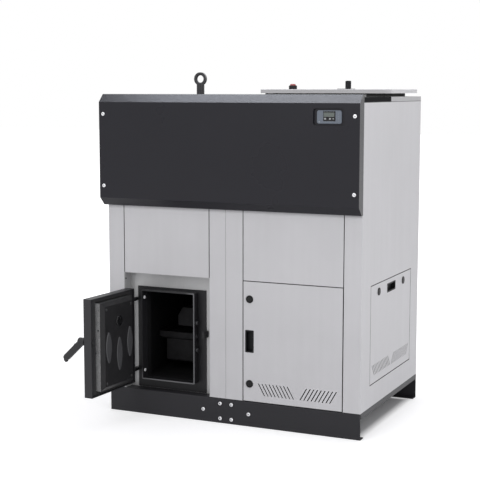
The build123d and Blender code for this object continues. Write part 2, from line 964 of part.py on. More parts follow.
lid_axis_y = lid_rear + lid_setback
lid_axis_z = cover_top + lid_axis_rise
lid_hinges = (mouth_left + lid_hinge_inset, mouth_right - lid_hinge_inset)
ear_reach = lid_barrel_length / 2 + seat_clearance + lid_ear
rear_hopper_pan = hopper_cover_pan(front_cover_back, rear_y)
with BuildPart() as hopper_rear_top_cover:
    add(rear_hopper_pan)
    with BuildSketch(up(casing_top)):
        rectangle_between(
            mouth_left + neck_width / 2,
            mouth_front + neck_width / 2,
            mouth_right - neck_width / 2,
            mouth_rear - neck_width / 2,
        )
    extrude(amount=cover_height, mode=Mode.SUBTRACT)
    for hinge_x in lid_hinges:
        for side in (-1, 1):
            with BuildSketch(facing_right(hinge_x + side * (ear_reach - lid_ear / 2))):
                rectangle_between(
                    lid_axis_y - lid_barrel_radius,
                    cover_top - sheet,
                    lid_axis_y + lid_barrel_radius,
                    lid_axis_z,
                )
                with Locations((lid_axis_y, lid_axis_z)):
                    Circle(lid_barrel_radius)
            extrude(amount=lid_ear / 2, both=True)
        with BuildSketch(facing_right(hinge_x)):
            with Locations((lid_axis_y, lid_axis_z)):
                Circle(lid_pin_radius)
        extrude(amount=ear_reach, both=True)
hopper_rear_top_cover.part.label = "hopper_rear_top_cover"
export_step(hopper_rear_top_cover.part, "parts/hopper_rear_top_cover.step")

# Rear panels, inside the side panels' rear returns

rear_panel_top = casing_top - sheet - panel_gap / 4
connections = (
    (connection_x, flow_z, socket_outer_radius),
    (connection_x, return_z, socket_outer_radius),
    (niche_centre_x, drain_z, drain_outer_radius),
    (niche_centre_x, flue_z, flue_radius + flue_bead_rise),
)
with BuildPart() as rear_panels:
    for x_low, x_high in ((left_x, seam_x), (seam_x, right_x)):
        with BuildSketch(facing_front(rear_y - sheet)):
            rectangle_between(
                x_low + rear_lap, base_height, x_high - rear_lap, rear_panel_top
            )
        extrude(amount=sheet)
    with BuildSketch(facing_front(rear_y)):
        for x, z, radius in connections:
            with Locations((x, z)):
                Circle(radius + connection_clearance)
    extrude(amount=3 * sheet, mode=Mode.SUBTRACT)
rear_panels.part.label = "rear_panels"
export_step(rear_panels.part, "parts/rear_panels.step")

# Header fascia across both modules

bevel_shift = header_sheet * (sqrt(2) - 1)


def header_outline(inset, bevel):
    """Section of the header seen from the right, set in by the sheet where inset is not 0."""
    front = header_face + inset
    low = header_bottom + inset
    high = header_top - inset
    Polygon(
        (front_y, low),
        (header_face + header_bevel + bevel, low),
        (front, header_bottom + header_bevel + bevel),
        (front, header_top - header_bevel - bevel),
        (header_face + header_bevel + bevel, high),
        (front_y + header_lip_depth - inset, high),
        (front_y + header_lip_depth - inset, cover_top),
        (front_y, cover_top),
        align=None,
    )


with BuildPart() as header_fascia:
    with BuildSketch(facing_right(header_left)):
        header_outline(0, 0)
    extrude(amount=header_right - header_left)
    with BuildSketch(facing_right(header_left + header_sheet)):
        header_outline(header_sheet, bevel_shift)
    extrude(amount=header_right - header_left - 2 * header_sheet, mode=Mode.SUBTRACT)
    with BuildSketch(facing_front(front_y)):
        rectangle_between(header_left, header_bottom, left_x, cover_top)
    extrude(amount=header_sheet)
    with BuildSketch(facing_front(header_face)):
        with Locations((pocket_centre_x, pocket_centre_z)):
            RectangleRounded(
                pocket_width + 2 * header_sheet,
                pocket_height + 2 * header_sheet,
                pocket_corner + header_sheet,
            )
    extrude(amount=-(pocket_depth + header_sheet))
    with BuildSketch(facing_front(header_face)):
        with Locations((pocket_centre_x, pocket_centre_z)):
            RectangleRounded(pocket_width, pocket_height, pocket_corner)
    extrude(amount=-pocket_depth, mode=Mode.SUBTRACT)
    with BuildSketch(facing_front(header_face)):
        with Locations(*header_screws_at):
            Circle(header_spacer_radius)
    extrude(amount=-header_depth)
    with BuildSketch(facing_front(header_face)):
        with Locations(*header_screws_at):
            Circle(header_screw_radius + bolt_clearance)
    extrude(amount=-header_depth, mode=Mode.SUBTRACT)
header_fascia.part.label = "header_fascia"
export_step(header_fascia.part, "parts/header_fascia.step")

with BuildPart() as header_screws:
    with BuildSketch(facing_front(header_face)):
        with Locations(*header_screws_at):
            Circle(header_head_radius)
    extrude(amount=header_head_height)
    heads = header_screws.edges().filter_by(GeomType.CIRCLE).group_by(Axis.Y)[0]
    fillet(heads, header_head_height * 0.7)
    with BuildSketch(facing_front(header_face)):
        with Locations(*header_screws_at):
            Circle(header_screw_radius)
    extrude(amount=-(header_depth + sheet + header_nut_height))
    with BuildSketch(facing_front(front_y + sheet)):
        with Locations(*header_screws_at):
            RegularPolygon(header_nut_radius, 6)
    extrude(amount=-header_nut_height)
header_screws.part.label = "header_screws"
export_step(header_screws.part, "parts/header_screws.step")

# Controller in the header's pocket

pocket_floor = header_face + pocket_depth
window_centre_x = pocket_centre_x + window_shift
window_centre_z = pocket_centre_z + window_rise
key_z = pocket_centre_z - key_drop
keys = {
    name: (pocket_centre_x + shift, width, height)
    for name, (shift, width, height) in key_shifts.items()
}
with BuildPart() as controller_face:
    with BuildSketch(facing_front(pocket_floor)):
        with Locations((pocket_centre_x, pocket_centre_z)):
            RectangleRounded(face_width, face_height, face_corner)
    extrude(amount=face_thickness)
    fillet(controller_face.faces().sort_by(Axis.Y)[0].edges(), face_edge)
    with BuildSketch(facing_front(pocket_floor)):
        with Locations((window_centre_x, window_centre_z)):
            Rectangle(window_width + 2 * window_gap, window_height + 2 * window_gap)
    extrude(amount=face_thickness, mode=Mode.SUBTRACT)
controller_face.part.label = "controller_face"
export_step(controller_face.part, "parts/controller_face.step")

window_thickness = face_thickness + window_proud
key_back = window_thickness - key_well
with BuildPart() as controller_window:
    with BuildSketch(facing_front(pocket_floor)):
        with Locations((window_centre_x, window_centre_z)):
            Rectangle(window_width, window_height)
    extrude(amount=window_thickness)
    for x, width, height in keys.values():
        with BuildSketch(facing_front(pocket_floor - window_thickness)):
            with Locations((x, key_z)):
                Rectangle(width + 2 * key_gap, height + 2 * key_gap)
        extrude(amount=-key_well, mode=Mode.SUBTRACT)
controller_window.part.label = "controller_window"
export_step(controller_window.part, "parts/controller_window.step")

for key_name, (x, width, height) in keys.items():
    with BuildPart() as key:
        with BuildSketch(facing_front(pocket_floor - key_back - key_travel - seat_clearance)):
            with Locations((x, key_z)):
                Rectangle(width, height)
        extrude(amount=key_well - key_travel - seat_clearance + key_proud)
        fillet(key.faces().sort_by(Axis.Y)[0].edges(), key_edge)
    key.part.label = key_name
    export_step(key.part, f"parts/{key_name}.step")

# Pellet hopper: an upper box, a funnel and a throat flange

hopper_left = seam_x + hopper_margin
hopper_right = right_x - hopper_margin
hopper_front = front_y + hopper_front_margin
hopper_rear = rear_y - hopper_rear_margin
auger_flange_top = auger_z + auger_tube_radius + throat_flange
throat_centre_y = burner_centre_y


def hopper_plan(inset):
    """Plan of the hopper's upper box, set in by the given amount."""
    rectangle_between(
        hopper_left + inset, hopper_front + inset, hopper_right - inset, hopper_rear - inset
    )


def throat_plan(growth):
    """Plan of the hopper's throat, larger by the given amount on each side."""
    with Locations((throat_centre_x, throat_centre_y)):
        Rectangle(throat_length + 2 * growth, throat_width + 2 * growth)


with BuildPart() as hopper:
    with BuildSketch(up(auger_flange_top)):
        throat_plan(0)
    with BuildSketch(up(hopper_bend_z)):
        hopper_plan(0)
    loft(ruled=True)
    with BuildSketch(up(hopper_bend_z)):
        hopper_plan(0)
    extrude(amount=casing_top - hopper_bend_z)
    with BuildSketch(up(auger_flange_top)):
        throat_plan(throat_lap)
    extrude(amount=throat_flange)
    with BuildSketch(up(casing_top)):
        rectangle_between(rim_left, hopper_front, rim_right, hopper_rear)
    extrude(amount=hopper_wall)
    with BuildSketch(up(auger_flange_top)):
        throat_plan(-hopper_wall)
    with BuildSketch(up(hopper_bend_z)):
        hopper_plan(hopper_wall)
    loft(ruled=True, mode=Mode.SUBTRACT)
    with BuildSketch(up(hopper_bend_z)):
        hopper_plan(hopper_wall)
    extrude(amount=casing_top + hopper_wall - hopper_bend_z, mode=Mode.SUBTRACT)

# The hopper is welded from flat sheets, four to each of its rim, box, funnel and throat flange


def funnel_face(y_top, y_throat, turn):
    """Plane on the funnel's inner front or rear face, turned to face outward."""
    slope = Vector(0, y_throat - y_top, auger_flange_top - hopper_bend_z)
    return Plane(origin=(0, y_top, hopper_bend_z), z_dir=slope.cross(Vector(turn, 0, 0)))


box_faces = facing_front(hopper_front + hopper_wall), -facing_front(hopper_rear - hopper_wall)
throat_reach = throat_width / 2 - hopper_wall
slopes = (
    funnel_face(hopper_front + hopper_wall, throat_centre_y - throat_reach, 1),
    funnel_face(hopper_rear - hopper_wall, throat_centre_y + throat_reach, -1),
)
rim, upper_box, lower_hopper = cut_apart(hopper.part, up(casing_top), up(hopper_bend_z))
funnel, throat = cut_apart(lower_hopper, up(auger_flange_top + throat_flange))
hopper_sheets = [
    sheet_solid
    for ring, faces in ((rim, box_faces), (upper_box, box_faces), (funnel, slopes), (throat, slopes))
    for sheet_solid in cut_apart(ring, *faces)
]
welded_hopper = Compound(hopper_sheets)
welded_hopper.label = "hopper"
export_step(welded_hopper, "parts/hopper.step")

with BuildPart() as hopper_seal:
    with BuildSketch(up(cover_top)):
        rectangle_between(mouth_left, mouth_front, mouth_right, mouth_rear)
        cut_between(
            mouth_left + neck_width,
            mouth_front + neck_width,
            mouth_right - neck_width,
            mouth_rear - neck_width,
        )
    extrude(amount=lid_top - sheet - seat_clearance - cover_top)
    with BuildSketch(up(cover_top)):
        rectangle_between(
            lid_left + buffer_inset,
            lid_front + buffer_setback,
            lid_left + buffer_inset + buffer_length,
            lid_front + buffer_setback + buffer_width,
        )
    extrude(amount=lid_bottom - seat_clearance - cover_top)
hopper_seal.part.label = "hopper_seal"
export_step(hopper_seal.part, "parts/hopper_seal.step")

# Hopper lid with its knob and push button

lid_holes = (
    (knob_x, knob_stem_radius),
    (button_x, button_radius),
)
with BuildPart() as hopper_lid:
    with BuildSketch(up(lid_bottom)):
        rectangle_between(lid_left, lid_front, right_x, lid_rear)
    extrude(amount=lid_top - lid_bottom)
    upright = hopper_lid.edges().filter_by(Axis.Z)
    fillet(upright, lid_corner)
    chamfer(hopper_lid.faces().sort_by(Axis.Z)[-1].edges(), lid_edge)
    with BuildSketch(up(lid_bottom)):
        rectangle_between(lid_left + sheet, lid_front + sheet, right_x - sheet, lid_rear - sheet)
    extrude(amount=lid_top - lid_bottom - sheet, mode=Mode.SUBTRACT)
    for hinge_x in lid_hinges:
        with BuildSketch(facing_right(hinge_x)):
            with Locations((lid_axis_y, lid_axis_z)):
                Circle(lid_barrel_radius)
            rectangle_between(
                lid_rear - sheet, lid_bottom, lid_axis_y, lid_axis_z + lid_barrel_radius
            )
        extrude(amount=lid_barrel_length / 2, both=True)
        with BuildSketch(facing_right(hinge_x)):
            with Locations((lid_axis_y, lid_axis_z)):
                Circle(lid_pin_radius + pin_clearance)
        extrude(amount=lid_barrel_length, both=True, mode=Mode.SUBTRACT)
    for x, radius in lid_holes:
        with BuildSketch(up(lid_bottom)):
            with Locations((x, fitting_y)):
                Circle(radius + running_clearance)
        extrude(amount=lid_top - lid_bottom, mode=Mode.SUBTRACT)
hopper_lid.part.label = "hopper_lid"
export_step(hopper_lid.part, "parts/hopper_lid.step")

with BuildPart() as lid_fittings:
    with BuildSketch(up(lid_top)):
        with Locations((knob_plate_x, fitting_y)):
            RectangleRounded(knob_plate_length, knob_plate_width, knob_plate_corner)
    extrude(amount=knob_plate_thickness)
    with BuildSketch(up(lid_top)):
        with Locations((button_x, fitting_y)):
            Circle(button_base_radius)
    extrude(amount=button_base_height)
    base_rim = lid_fittings.edges().filter_by(GeomType.CIRCLE).sort_by(Axis.Z)[-1]
    chamfer(base_rim, button_base_bevel)
    for x, radius in lid_holes:
        with BuildSketch(up(lid_top)):
            with Locations((x, fitting_y)):
                Circle(radius + running_clearance)
        extrude(amount=button_base_height, mode=Mode.SUBTRACT)
lid_fittings.part.label = "lid_fittings"
export_step(lid_fittings.part, "parts/lid_fittings.step")

knob_bottom = lid_top + knob_plate_thickness + seat_clearance
knob_cam_top = cover_top - sheet - seat_clearance
with BuildPart() as lid_knob:
    with BuildSketch(up(knob_bottom)):
        with Locations((knob_x, fitting_y)):
            Circle(knob_radius)
    extrude(amount=knob_height)
    fillet(lid_knob.faces().sort_by(Axis.Z)[-1].edges(), knob_crown)
    with BuildSketch(up(knob_bottom + knob_height)):
        for angle in range(0, 360, 360 // knob_grips):
            reach = knob_radius + knob_grip_radius * 0.4
            with Locations(
                (knob_x + reach * cos(radians(angle)), fitting_y + reach * sin(radians(angle)))
            ):
                Circle(knob_grip_radius)
    extrude(amount=-knob_height, mode=Mode.SUBTRACT)
    with BuildSketch(up(knob_cam_top - knob_cam_thickness)):
        with Locations((knob_x, fitting_y)):
            Circle(knob_stem_radius)
    extrude(amount=knob_bottom - knob_cam_top + knob_cam_thickness)
    with BuildSketch(up(knob_cam_top - knob_cam_thickness)):
        with Locations((knob_x, fitting_y)):
            Rectangle(knob_cam_length, knob_cam_width, align=(Align.MIN, Align.CENTER))
            Circle(knob_cam_width / 2)
    extrude(amount=knob_cam_thickness)
lid_knob.part.label = "lid_knob"
export_step(lid_knob.part, "parts/lid_knob.step")

button_top = lid_top + button_base_height + button_rise
with BuildPart() as lid_button:
    with BuildSketch(up(lid_bottom)):
        with Locations((button_x, fitting_y)):
            Circle(button_radius)
    extrude(amount=button_top - lid_bottom)
    fillet(lid_button.faces().sort_by(Axis.Z)[-1].edges(), button_edge)
    with BuildSketch(up(lid_bottom)):
        with Locations((button_x, fitting_y)):
            Circle(button_radius + button_stop)
    extrude(amount=lid_top - sheet - seat_clearance - lid_bottom)
lid_button.part.label = "lid_button"
export_step(lid_button.part, "parts/lid_button.step")

# Boiler body: its outer shell, its firebox, and the smoke box with the flue tubes under it.
# Water fills the space between them. The three are welded together and share one node.

body_left = left_x + body_side_gap
body_right = seam_x - body_side_gap
body_front = niche_back
body_rear = rear_y - body_rear_gap
firebox_left = niche_centre_x - firebox_width / 2
firebox_bottom = base_height + firebox_floor
firebox_top = firebox_bottom + firebox_height
firebox_back = body_rear - firebox_rear_room
smoke_top_z = body_top - smoke_box_top_room
smoke_floor_z = smoke_top_z - smoke_box_height
smoke_back = body_rear - smoke_box_rear_room
tube_centre_y = (smoke_box_front + smoke_back) / 2
cleaning_front = eye_y + post_radius + post_weld + cleaning_margin + cleaning_post_gap
cleaning_depth = smoke_back - plate - cleaning_front
cleaning_centre_y = cleaning_front + cleaning_depth / 2
doorway_width = opening_width - 2 * collar_wall
doorway_height = opening_height - 2 * collar_wall
socket_back = rear_y + socket_reach


def firebox_plan(growth):
    """Plan of the firebox, larger by the given amount on each side."""
    rectangle_between(
        firebox_left - growth,
        firebox_front - growth,
        firebox_left + firebox_width + growth,
        firebox_back + growth,
    )


def smoke_box_plan(growth):
    """Plan of the smoke box, larger by the given amount on each side."""
    rectangle_between(
        firebox_left - growth,
        smoke_box_front - growth,
        firebox_left + firebox_width + growth,
        smoke_back + growth,
    )


def tube_plan(radius):
    """The flue tubes' circles, seen from above."""
    with Locations((niche_centre_x, tube_centre_y)):
        with GridLocations(tube_pitch, tube_pitch, tube_columns, tube_rows):
            Circle(radius)


def doorway_outline(growth):
    """The doorway in the boiler's front plate, seen from the front."""
    with Locations((niche_centre_x, opening_centre_z)):
        Rectangle(doorway_width + 2 * growth, doorway_height + 2 * growth)


def cleaning_plan(growth):
    """Plan of the cleaning opening over the smoke box."""
    with Locations((niche_centre_x, cleaning_centre_y)):
        Rectangle(cleaning_width + 2 * growth, cleaning_depth + 2 * growth)


def burner_way(growth):
    """The burner's way through the jacket, seen from the right."""
    rectangle_between(
        burner_centre_y - tunnel_width / 2 - growth,
        tunnel_bottom - growth,
        burner_centre_y + tunnel_width / 2 + growth,
        tunnel_top + growth,
    )


def flue_outline(radius):
    """Circle round the flue's axis, seen from the front."""
    with Locations((niche_centre_x, flue_z)):
        Circle(radius)


burner_way_end = seam_x - sheet - seat_clearance
firebox_right = firebox_left + firebox_width
socket_bores = (
    (connection_x, flow_z, socket_bore_radius),
    (connection_x, return_z, socket_bore_radius),
    (niche_centre_x, drain_z, drain_radius),
)
with BuildPart() as boiler_shell:
    with BuildSketch(up(body_bottom)):
        rectangle_between(body_left, body_front, body_right, body_rear)
    extrude(amount=body_top - body_bottom)
    with BuildSketch(up(body_bottom + plate)):
        rectangle_between(body_left + plate, body_front + plate, body_right - plate, body_rear - plate)
    extrude(amount=body_top - body_bottom - 2 * plate, mode=Mode.SUBTRACT)
    for x, z, outer in connections[:3]:
        with BuildSketch(facing_front(body_rear)):
            with Locations((x, z)):
                Circle(outer)
        extrude(amount=-(socket_back - body_rear))
    for x, z, bore in socket_bores:
        with BuildSketch(facing_front(body_rear - plate)):
            with Locations((x, z)):
                Circle(bore)
        extrude(amount=-(socket_back - body_rear + plate), mode=Mode.SUBTRACT)
    with BuildSketch(facing_front(body_front)):
        doorway_outline(plate)
    extrude(amount=-plate, mode=Mode.SUBTRACT)
    with BuildSketch(facing_right(body_right)):
        burner_way(plate)
    extrude(amount=-plate, mode=Mode.SUBTRACT)
    with BuildSketch(up(body_top)):
        cleaning_plan(plate)
    extrude(amount=-plate, mode=Mode.SUBTRACT)
    with BuildSketch(facing_front(body_rear)):
        flue_outline(flue_radius + bolt_clearance)
    extrude(amount=plate, mode=Mode.SUBTRACT)

with BuildPart() as firebox:
    with BuildSketch(up(firebox_bottom - plate)):
        firebox_plan(plate)
    extrude(amount=firebox_height + 2 * plate)
    with BuildSketch(facing_front(body_front)):
        doorway_outline(plate)
    extrude(amount=-(firebox_front - body_front))
    with BuildSketch(facing_right(firebox_right)):
        burner_way(plate)
    extrude(amount=burner_way_end - firebox_right)
    with BuildSketch(up(firebox_bottom)):
        firebox_plan(0)
    extrude(amount=firebox_height, mode=Mode.SUBTRACT)
    with BuildSketch(facing_front(body_front)):
        doorway_outline(0)
    extrude(amount=-(firebox_front - body_front), mode=Mode.SUBTRACT)
    with BuildSketch(facing_right(firebox_right)):
        burner_way(0)
    extrude(amount=burner_way_end - firebox_right, mode=Mode.SUBTRACT)
    with BuildSketch(up(firebox_top)):
        tube_plan(tube_bore_radius)
    extrude(amount=plate, mode=Mode.SUBTRACT)

with BuildPart() as smoke_box:
    with BuildSketch(up(smoke_floor_z - plate)):
        smoke_box_plan(plate)
    extrude(amount=smoke_box_height + 2 * plate)
    with BuildSketch(up(smoke_top_z)):
        cleaning_plan(plate)
    extrude(amount=body_top - smoke_top_z)
    with BuildSketch(facing_front(smoke_back)):
        flue_outline(flue_radius + plate)
    extrude(amount=-(body_rear - plate - smoke_back))
    with BuildSketch(up(firebox_top + plate)):
        tube_plan(tube_outer_radius)
    extrude(amount=smoke_floor_z - firebox_top - plate)
    with BuildSketch(up(smoke_floor_z)):
        smoke_box_plan(0)
    extrude(amount=smoke_box_height, mode=Mode.SUBTRACT)
    with BuildSketch(up(smoke_top_z)):
        cleaning_plan(0)
    extrude(amount=body_top - smoke_top_z, mode=Mode.SUBTRACT)
    with BuildSketch(facing_front(smoke_back)):
        flue_outline(flue_radius + bolt_clearance)
    extrude(amount=-(body_rear - smoke_back), mode=Mode.SUBTRACT)
    with BuildSketch(up(firebox_top)):
        tube_plan(tube_bore_radius)
    extrude(amount=smoke_floor_z - firebox_top, mode=Mode.SUBTRACT)

# The boiler body is welded from flat plates, so each weldment is cut where its plates meet

doorway_sides = beside(niche_centre_x, doorway_width / 2)
shell_doorway_sides = beside(niche_centre_x, doorway_width / 2 + plate)
cleaning_sides = beside(niche_centre_x, cleaning_width / 2)
shell_cleaning_sides = beside(niche_centre_x, cleaning_width / 2 + plate)
burner_way_levels = below_and_above(tunnel_bottom, tunnel_top)
shell_burner_way_levels = below_and_above(tunnel_bottom - plate, tunnel_top + plate)
flue_field = flue_radius + flue_margin
flue_sides = beside(niche_centre_x, flue_field)

bottom, top, front, rear, left, right = cut_box_apart(
    boiler_shell.part, body_front + plate, body_bottom + plate, body_rear - plate, body_top - plate
)
rear_left, rear_right, rear_middle = cut_apart(rear, *flue_sides)
low, high, flue_plate = cut_apart(
    rear_middle, *below_and_above(flue_z - flue_field, flue_z + flue_field)
)
shell_plates = [
    bottom,
    *cut_apart(top, *shell_cleaning_sides),
    *cut_apart(front, *shell_doorway_sides),
    *cut_apart(
        rear_left,
        up(flow_z + socket_field),
        up(flow_z - socket_field),
        up(return_z + socket_field),
        up(return_z - socket_field),
    ),
    rear_right,
    *cut_apart(low, up(drain_z + socket_field)),
    high,
    *cut_in_wedges(flue_plate, niche_centre_x, flue_z),
    left,
    *cut_apart(right, *shell_burner_way_levels),
]

doorway_tunnel, burner_tunnel, fire_chamber = cut_apart(
    firebox.part, facing_front(firebox_front - plate), facing_right(firebox_right + plate)
)
bottom, top, front, rear, left, right = cut_box_apart(
    fire_chamber, firebox_front, firebox_bottom, firebox_back, firebox_top
)
firebox_plates = [
    *cut_apart(doorway_tunnel, *doorway_sides),
    *cut_apart(burner_tunnel, *burner_way_levels),
    bottom,
    top,
    *cut_apart(front, *doorway_sides),
    rear,
    left,
    *cut_apart(right, *burner_way_levels),
]

cleaning_collar, flue_collar, smoke_chamber = cut_apart(
    smoke_box.part, up(smoke_top_z + plate), -facing_front(smoke_back + plate)
)
tubes_and_floor, top, front, rear, left, right = cut_box_apart(
    smoke_chamber, smoke_box_front, smoke_floor_z, smoke_back, smoke_top_z
)
rear_left, rear_right, flue_plate = cut_apart(rear, *flue_sides)
smoke_box_plates = [
    *cut_apart(cleaning_collar, *cleaning_sides),
    *cut_in_wedges(flue_collar, niche_centre_x, flue_z),
    tubes_and_floor,
    *cut_apart(top, *cleaning_sides),
    front,
    rear_left,
    rear_right,
    *cut_in_wedges(flue_plate, niche_centre_x, flue_z),
    left,
    right,
]

boiler_body = Compound(shell_plates + firebox_plates + smoke_box_plates)
boiler_body.label = "boiler_body"
export_step(boiler_body, "parts/boiler_body.step")

with BuildPart() as cleaning_cover:
    with BuildSketch(up(body_top)):
        cleaning_plan(cleaning_margin)
    extrude(amount=cleaning_plate)
    with BuildSketch(up(body_top - cleaning_plug)):
        cleaning_plan(-seat_clearance)
    extrude(amount=cleaning_plug)
    with BuildSketch(up(body_top + cleaning_plate)):
        with Locations((niche_centre_x, cleaning_centre_y)):
            with GridLocations(
                cleaning_width + cleaning_margin, cleaning_depth + cleaning_margin, 2, 2
            ):
                RegularPolygon(cleaning_nut_radius, 6)
    extrude(amount=cleaning_nut_height)
    with BuildSketch(up(body_top + cleaning_plate)):
        with Locations((niche_centre_x, cleaning_centre_y)):
            Rectangle(cleaning_grip_length, cleaning_grip_width)
            Rectangle(
                cleaning_grip_length - 2 * cleaning_grip_width, cleaning_grip_width,
                mode=Mode.SUBTRACT,
            )
    extrude(amount=cleaning_grip_height)
    with BuildSketch(up(body_top + cleaning_plate + cleaning_grip_height)):
        with Locations((niche_centre_x, cleaning_centre_y)):
            Rectangle(cleaning_grip_length, cleaning_grip_width)
    extrude(amount=-cleaning_grip_width)
cleaning_cover.part.label = "cleaning_cover"
export_step(cleaning_cover.part, "parts/cleaning_cover.step")

spigot_end = rear_y + flue_reach
with BuildPart() as flue_spigot:
    with BuildSketch(facing_front(smoke_back)):
        flue_outline(flue_radius)
    extrude(amount=-(spigot_end - smoke_back))
    with BuildSketch(facing_front(body_rear)):
        flue_outline(flue_radius + flue_flange)
    extrude(amount=-burner_wall)
    with BuildSketch(facing_front(rear_y + flue_bead_gap)):
        flue_outline(flue_radius + flue_bead_rise)
    extrude(amount=-flue_bead)
    with BuildSketch(facing_front(smoke_back)):
        flue_outline(flue_radius - flue_wall)
    extrude(amount=-(spigot_end - smoke_back), mode=Mode.SUBTRACT)
flue_spigot.part.label = "flue_spigot"
export_step(flue_spigot.part, "parts/flue_spigot.step")

with BuildPart() as turbulators:
    with BuildSketch(up(smoke_floor_z)):
        with Locations((niche_centre_x, tube_centre_y)):
            with GridLocations(tube_pitch, tube_pitch, tube_columns, tube_rows):
                Rectangle(2 * turbulator_half_width, turbulator_sheet)
    extrude(amount=-turbulator_length)
    for step in range(turbulator_fins):
        with BuildSketch(up(smoke_floor_z - turbulator_fin_pitch * (step + 1))):
            with Locations((niche_centre_x, tube_centre_y)):
                with GridLocations(tube_pitch, tube_pitch, tube_columns, tube_rows):
                    Rectangle(turbulator_fin_width, 2 * turbulator_fin_reach)
        extrude(amount=turbulator_sheet)
    with BuildSketch(up(smoke_floor_z)):
        with Locations((niche_centre_x, tube_centre_y)):
            with GridLocations(tube_pitch, tube_pitch, tube_columns, tube_rows):
                Rectangle(2 * tube_outer_radius + turbulator_lap, turbulator_bar_width)
    extrude(amount=turbulator_bar)
turbulators.part.label = "turbulators"
export_step(turbulators.part, "parts/turbulators.step")

with BuildPart() as lifting_eye:
    with BuildSketch(up(body_top)):
        with Locations((niche_centre_x, eye_y)):
            Circle(post_radius + post_weld)
    extrude(amount=post_weld)
    with BuildSketch(up(body_top)):
        with Locations((niche_centre_x, eye_y)):
            Circle(post_radius)
    extrude(amount=eye_centre_z - eye_outer_radius + eye_sink - body_top)
    with BuildSketch(facing_front(eye_y - eye_thickness / 2)):
        with Locations((niche_centre_x, eye_centre_z)):
            Circle(eye_outer_radius)
            Circle(eye_bore_radius, mode=Mode.SUBTRACT)
    extrude(amount=-eye_thickness)
    rims = [
        edge
        for edge in lifting_eye.edges().filter_by(GeomType.CIRCLE)
        if abs(abs(edge.center().Y - eye_y) - eye_thickness / 2) < 0.01
        and abs(edge.center().Z - eye_centre_z) < 1
    ]
    fillet(rims, eye_rounding)
lifting_eye.part.label = "lifting_eye"
export_step(lifting_eye.part, "parts/lifting_eye.step")

# Door frame: flange plate, collar, hinge lugs with pins, and the latch catch

plate_left = niche_centre_x - frame_plate_width / 2
plate_right = niche_centre_x + frame_plate_width / 2
plate_back = niche_back - sheet
plate_front = plate_back - frame_plate
collar_front = niche_back - collar_reach - sheet
door_axis_x = niche_centre_x - door_width / 2 - door_hinge_inset
door_axis_y = collar_front - door_collar_gap - (door_thickness - door_hinge_setback)
spindle_x = door_axis_x + door_hinge_inset + door_width - handle_edge
lug_tops = [opening_centre_z + side * hinge_half_spread for side in (-1, 1)]
catch_left = spindle_x + cam_length - catch_hold
catch_right = spindle_x + cam_length + catch_gap
cam_front_y = door_axis_y + (door_thickness - door_hinge_setback) + door_lip_rise + cam_lift
catch_back_y = cam_front_y - catch_clearance
screw_y = (collar_front + plate_front) / 2
collar_wall_left = niche_centre_x - opening_width / 2
collar_wall_right = niche_centre_x + opening_width / 2
left_screws = [opening_centre_z + side * left_screw_spread for side in (-1, 1)]
right_screws = [
    opening_centre_z + right_screw_rise + step * right_screw_spread for step in (-1, 0, 1)
]
catch_middle_z = handle_z - catch_drop

with BuildPart() as door_frame:
    with BuildSketch(facing_front(plate_back)):
        rectangle_between(plate_left, frame_plate_bottom, plate_right, frame_plate_top)
    extrude(amount=frame_plate)
    with BuildSketch(facing_front(niche_back)):
        with Locations((niche_centre_x, opening_centre_z)):
            RectangleRounded(opening_width, opening_height, collar_corner)
    extrude(amount=niche_back - collar_front)
    with BuildSketch(facing_front(niche_back)):
        with Locations((niche_centre_x, opening_centre_z)):
            Rectangle(doorway_width, doorway_height)
    extrude(amount=niche_back - collar_front, mode=Mode.SUBTRACT)
    for top in lug_tops:
        with BuildSketch(up(top - lug_height)):
            with Locations((door_axis_x, door_axis_y)):
                Circle(lug_radius)
            rectangle_between(
                door_axis_x - lug_radius, door_axis_y, door_axis_x + lug_radius, plate_front
            )
            rectangle_between(
                door_axis_x - lug_radius,
                plate_front - lug_foot,
                plate_left + lug_foot_length,
                plate_front,
            )
        extrude(amount=lug_height)
        with BuildSketch(up(top - lug_height)):
            with Locations((door_axis_x, door_axis_y)):
                Circle(door_pin_radius)
        extrude(amount=lug_height + knuckle_length + 2 * door_edge_gap)
    with BuildSketch(up(catch_middle_z - catch_height / 2)):
        rectangle_between(catch_right, catch_back_y - catch_plate, catch_right + catch_plate, plate_front)
        rectangle_between(catch_left, catch_back_y - catch_plate, catch_right, catch_back_y)
        rectangle_between(
            plate_right - catch_foot, plate_front - catch_plate, catch_right + catch_plate, plate_front
        )
    extrude(amount=catch_height)
    for z in left_screws:
        with BuildSketch(facing_right(collar_wall_left)):
            with Locations((screw_y, z)):
                Circle(frame_screw_radius + bolt_clearance)
        extrude(amount=collar_wall, mode=Mode.SUBTRACT)
    for z in right_screws:
        with BuildSketch(facing_right(collar_wall_right)):
            with Locations((screw_y, z)):
                Circle(frame_screw_radius + bolt_clearance)
        extrude(amount=-collar_wall, mode=Mode.SUBTRACT)
door_frame.part.label = "door_frame"
export_step(door_frame.part, "parts/door_frame.step")

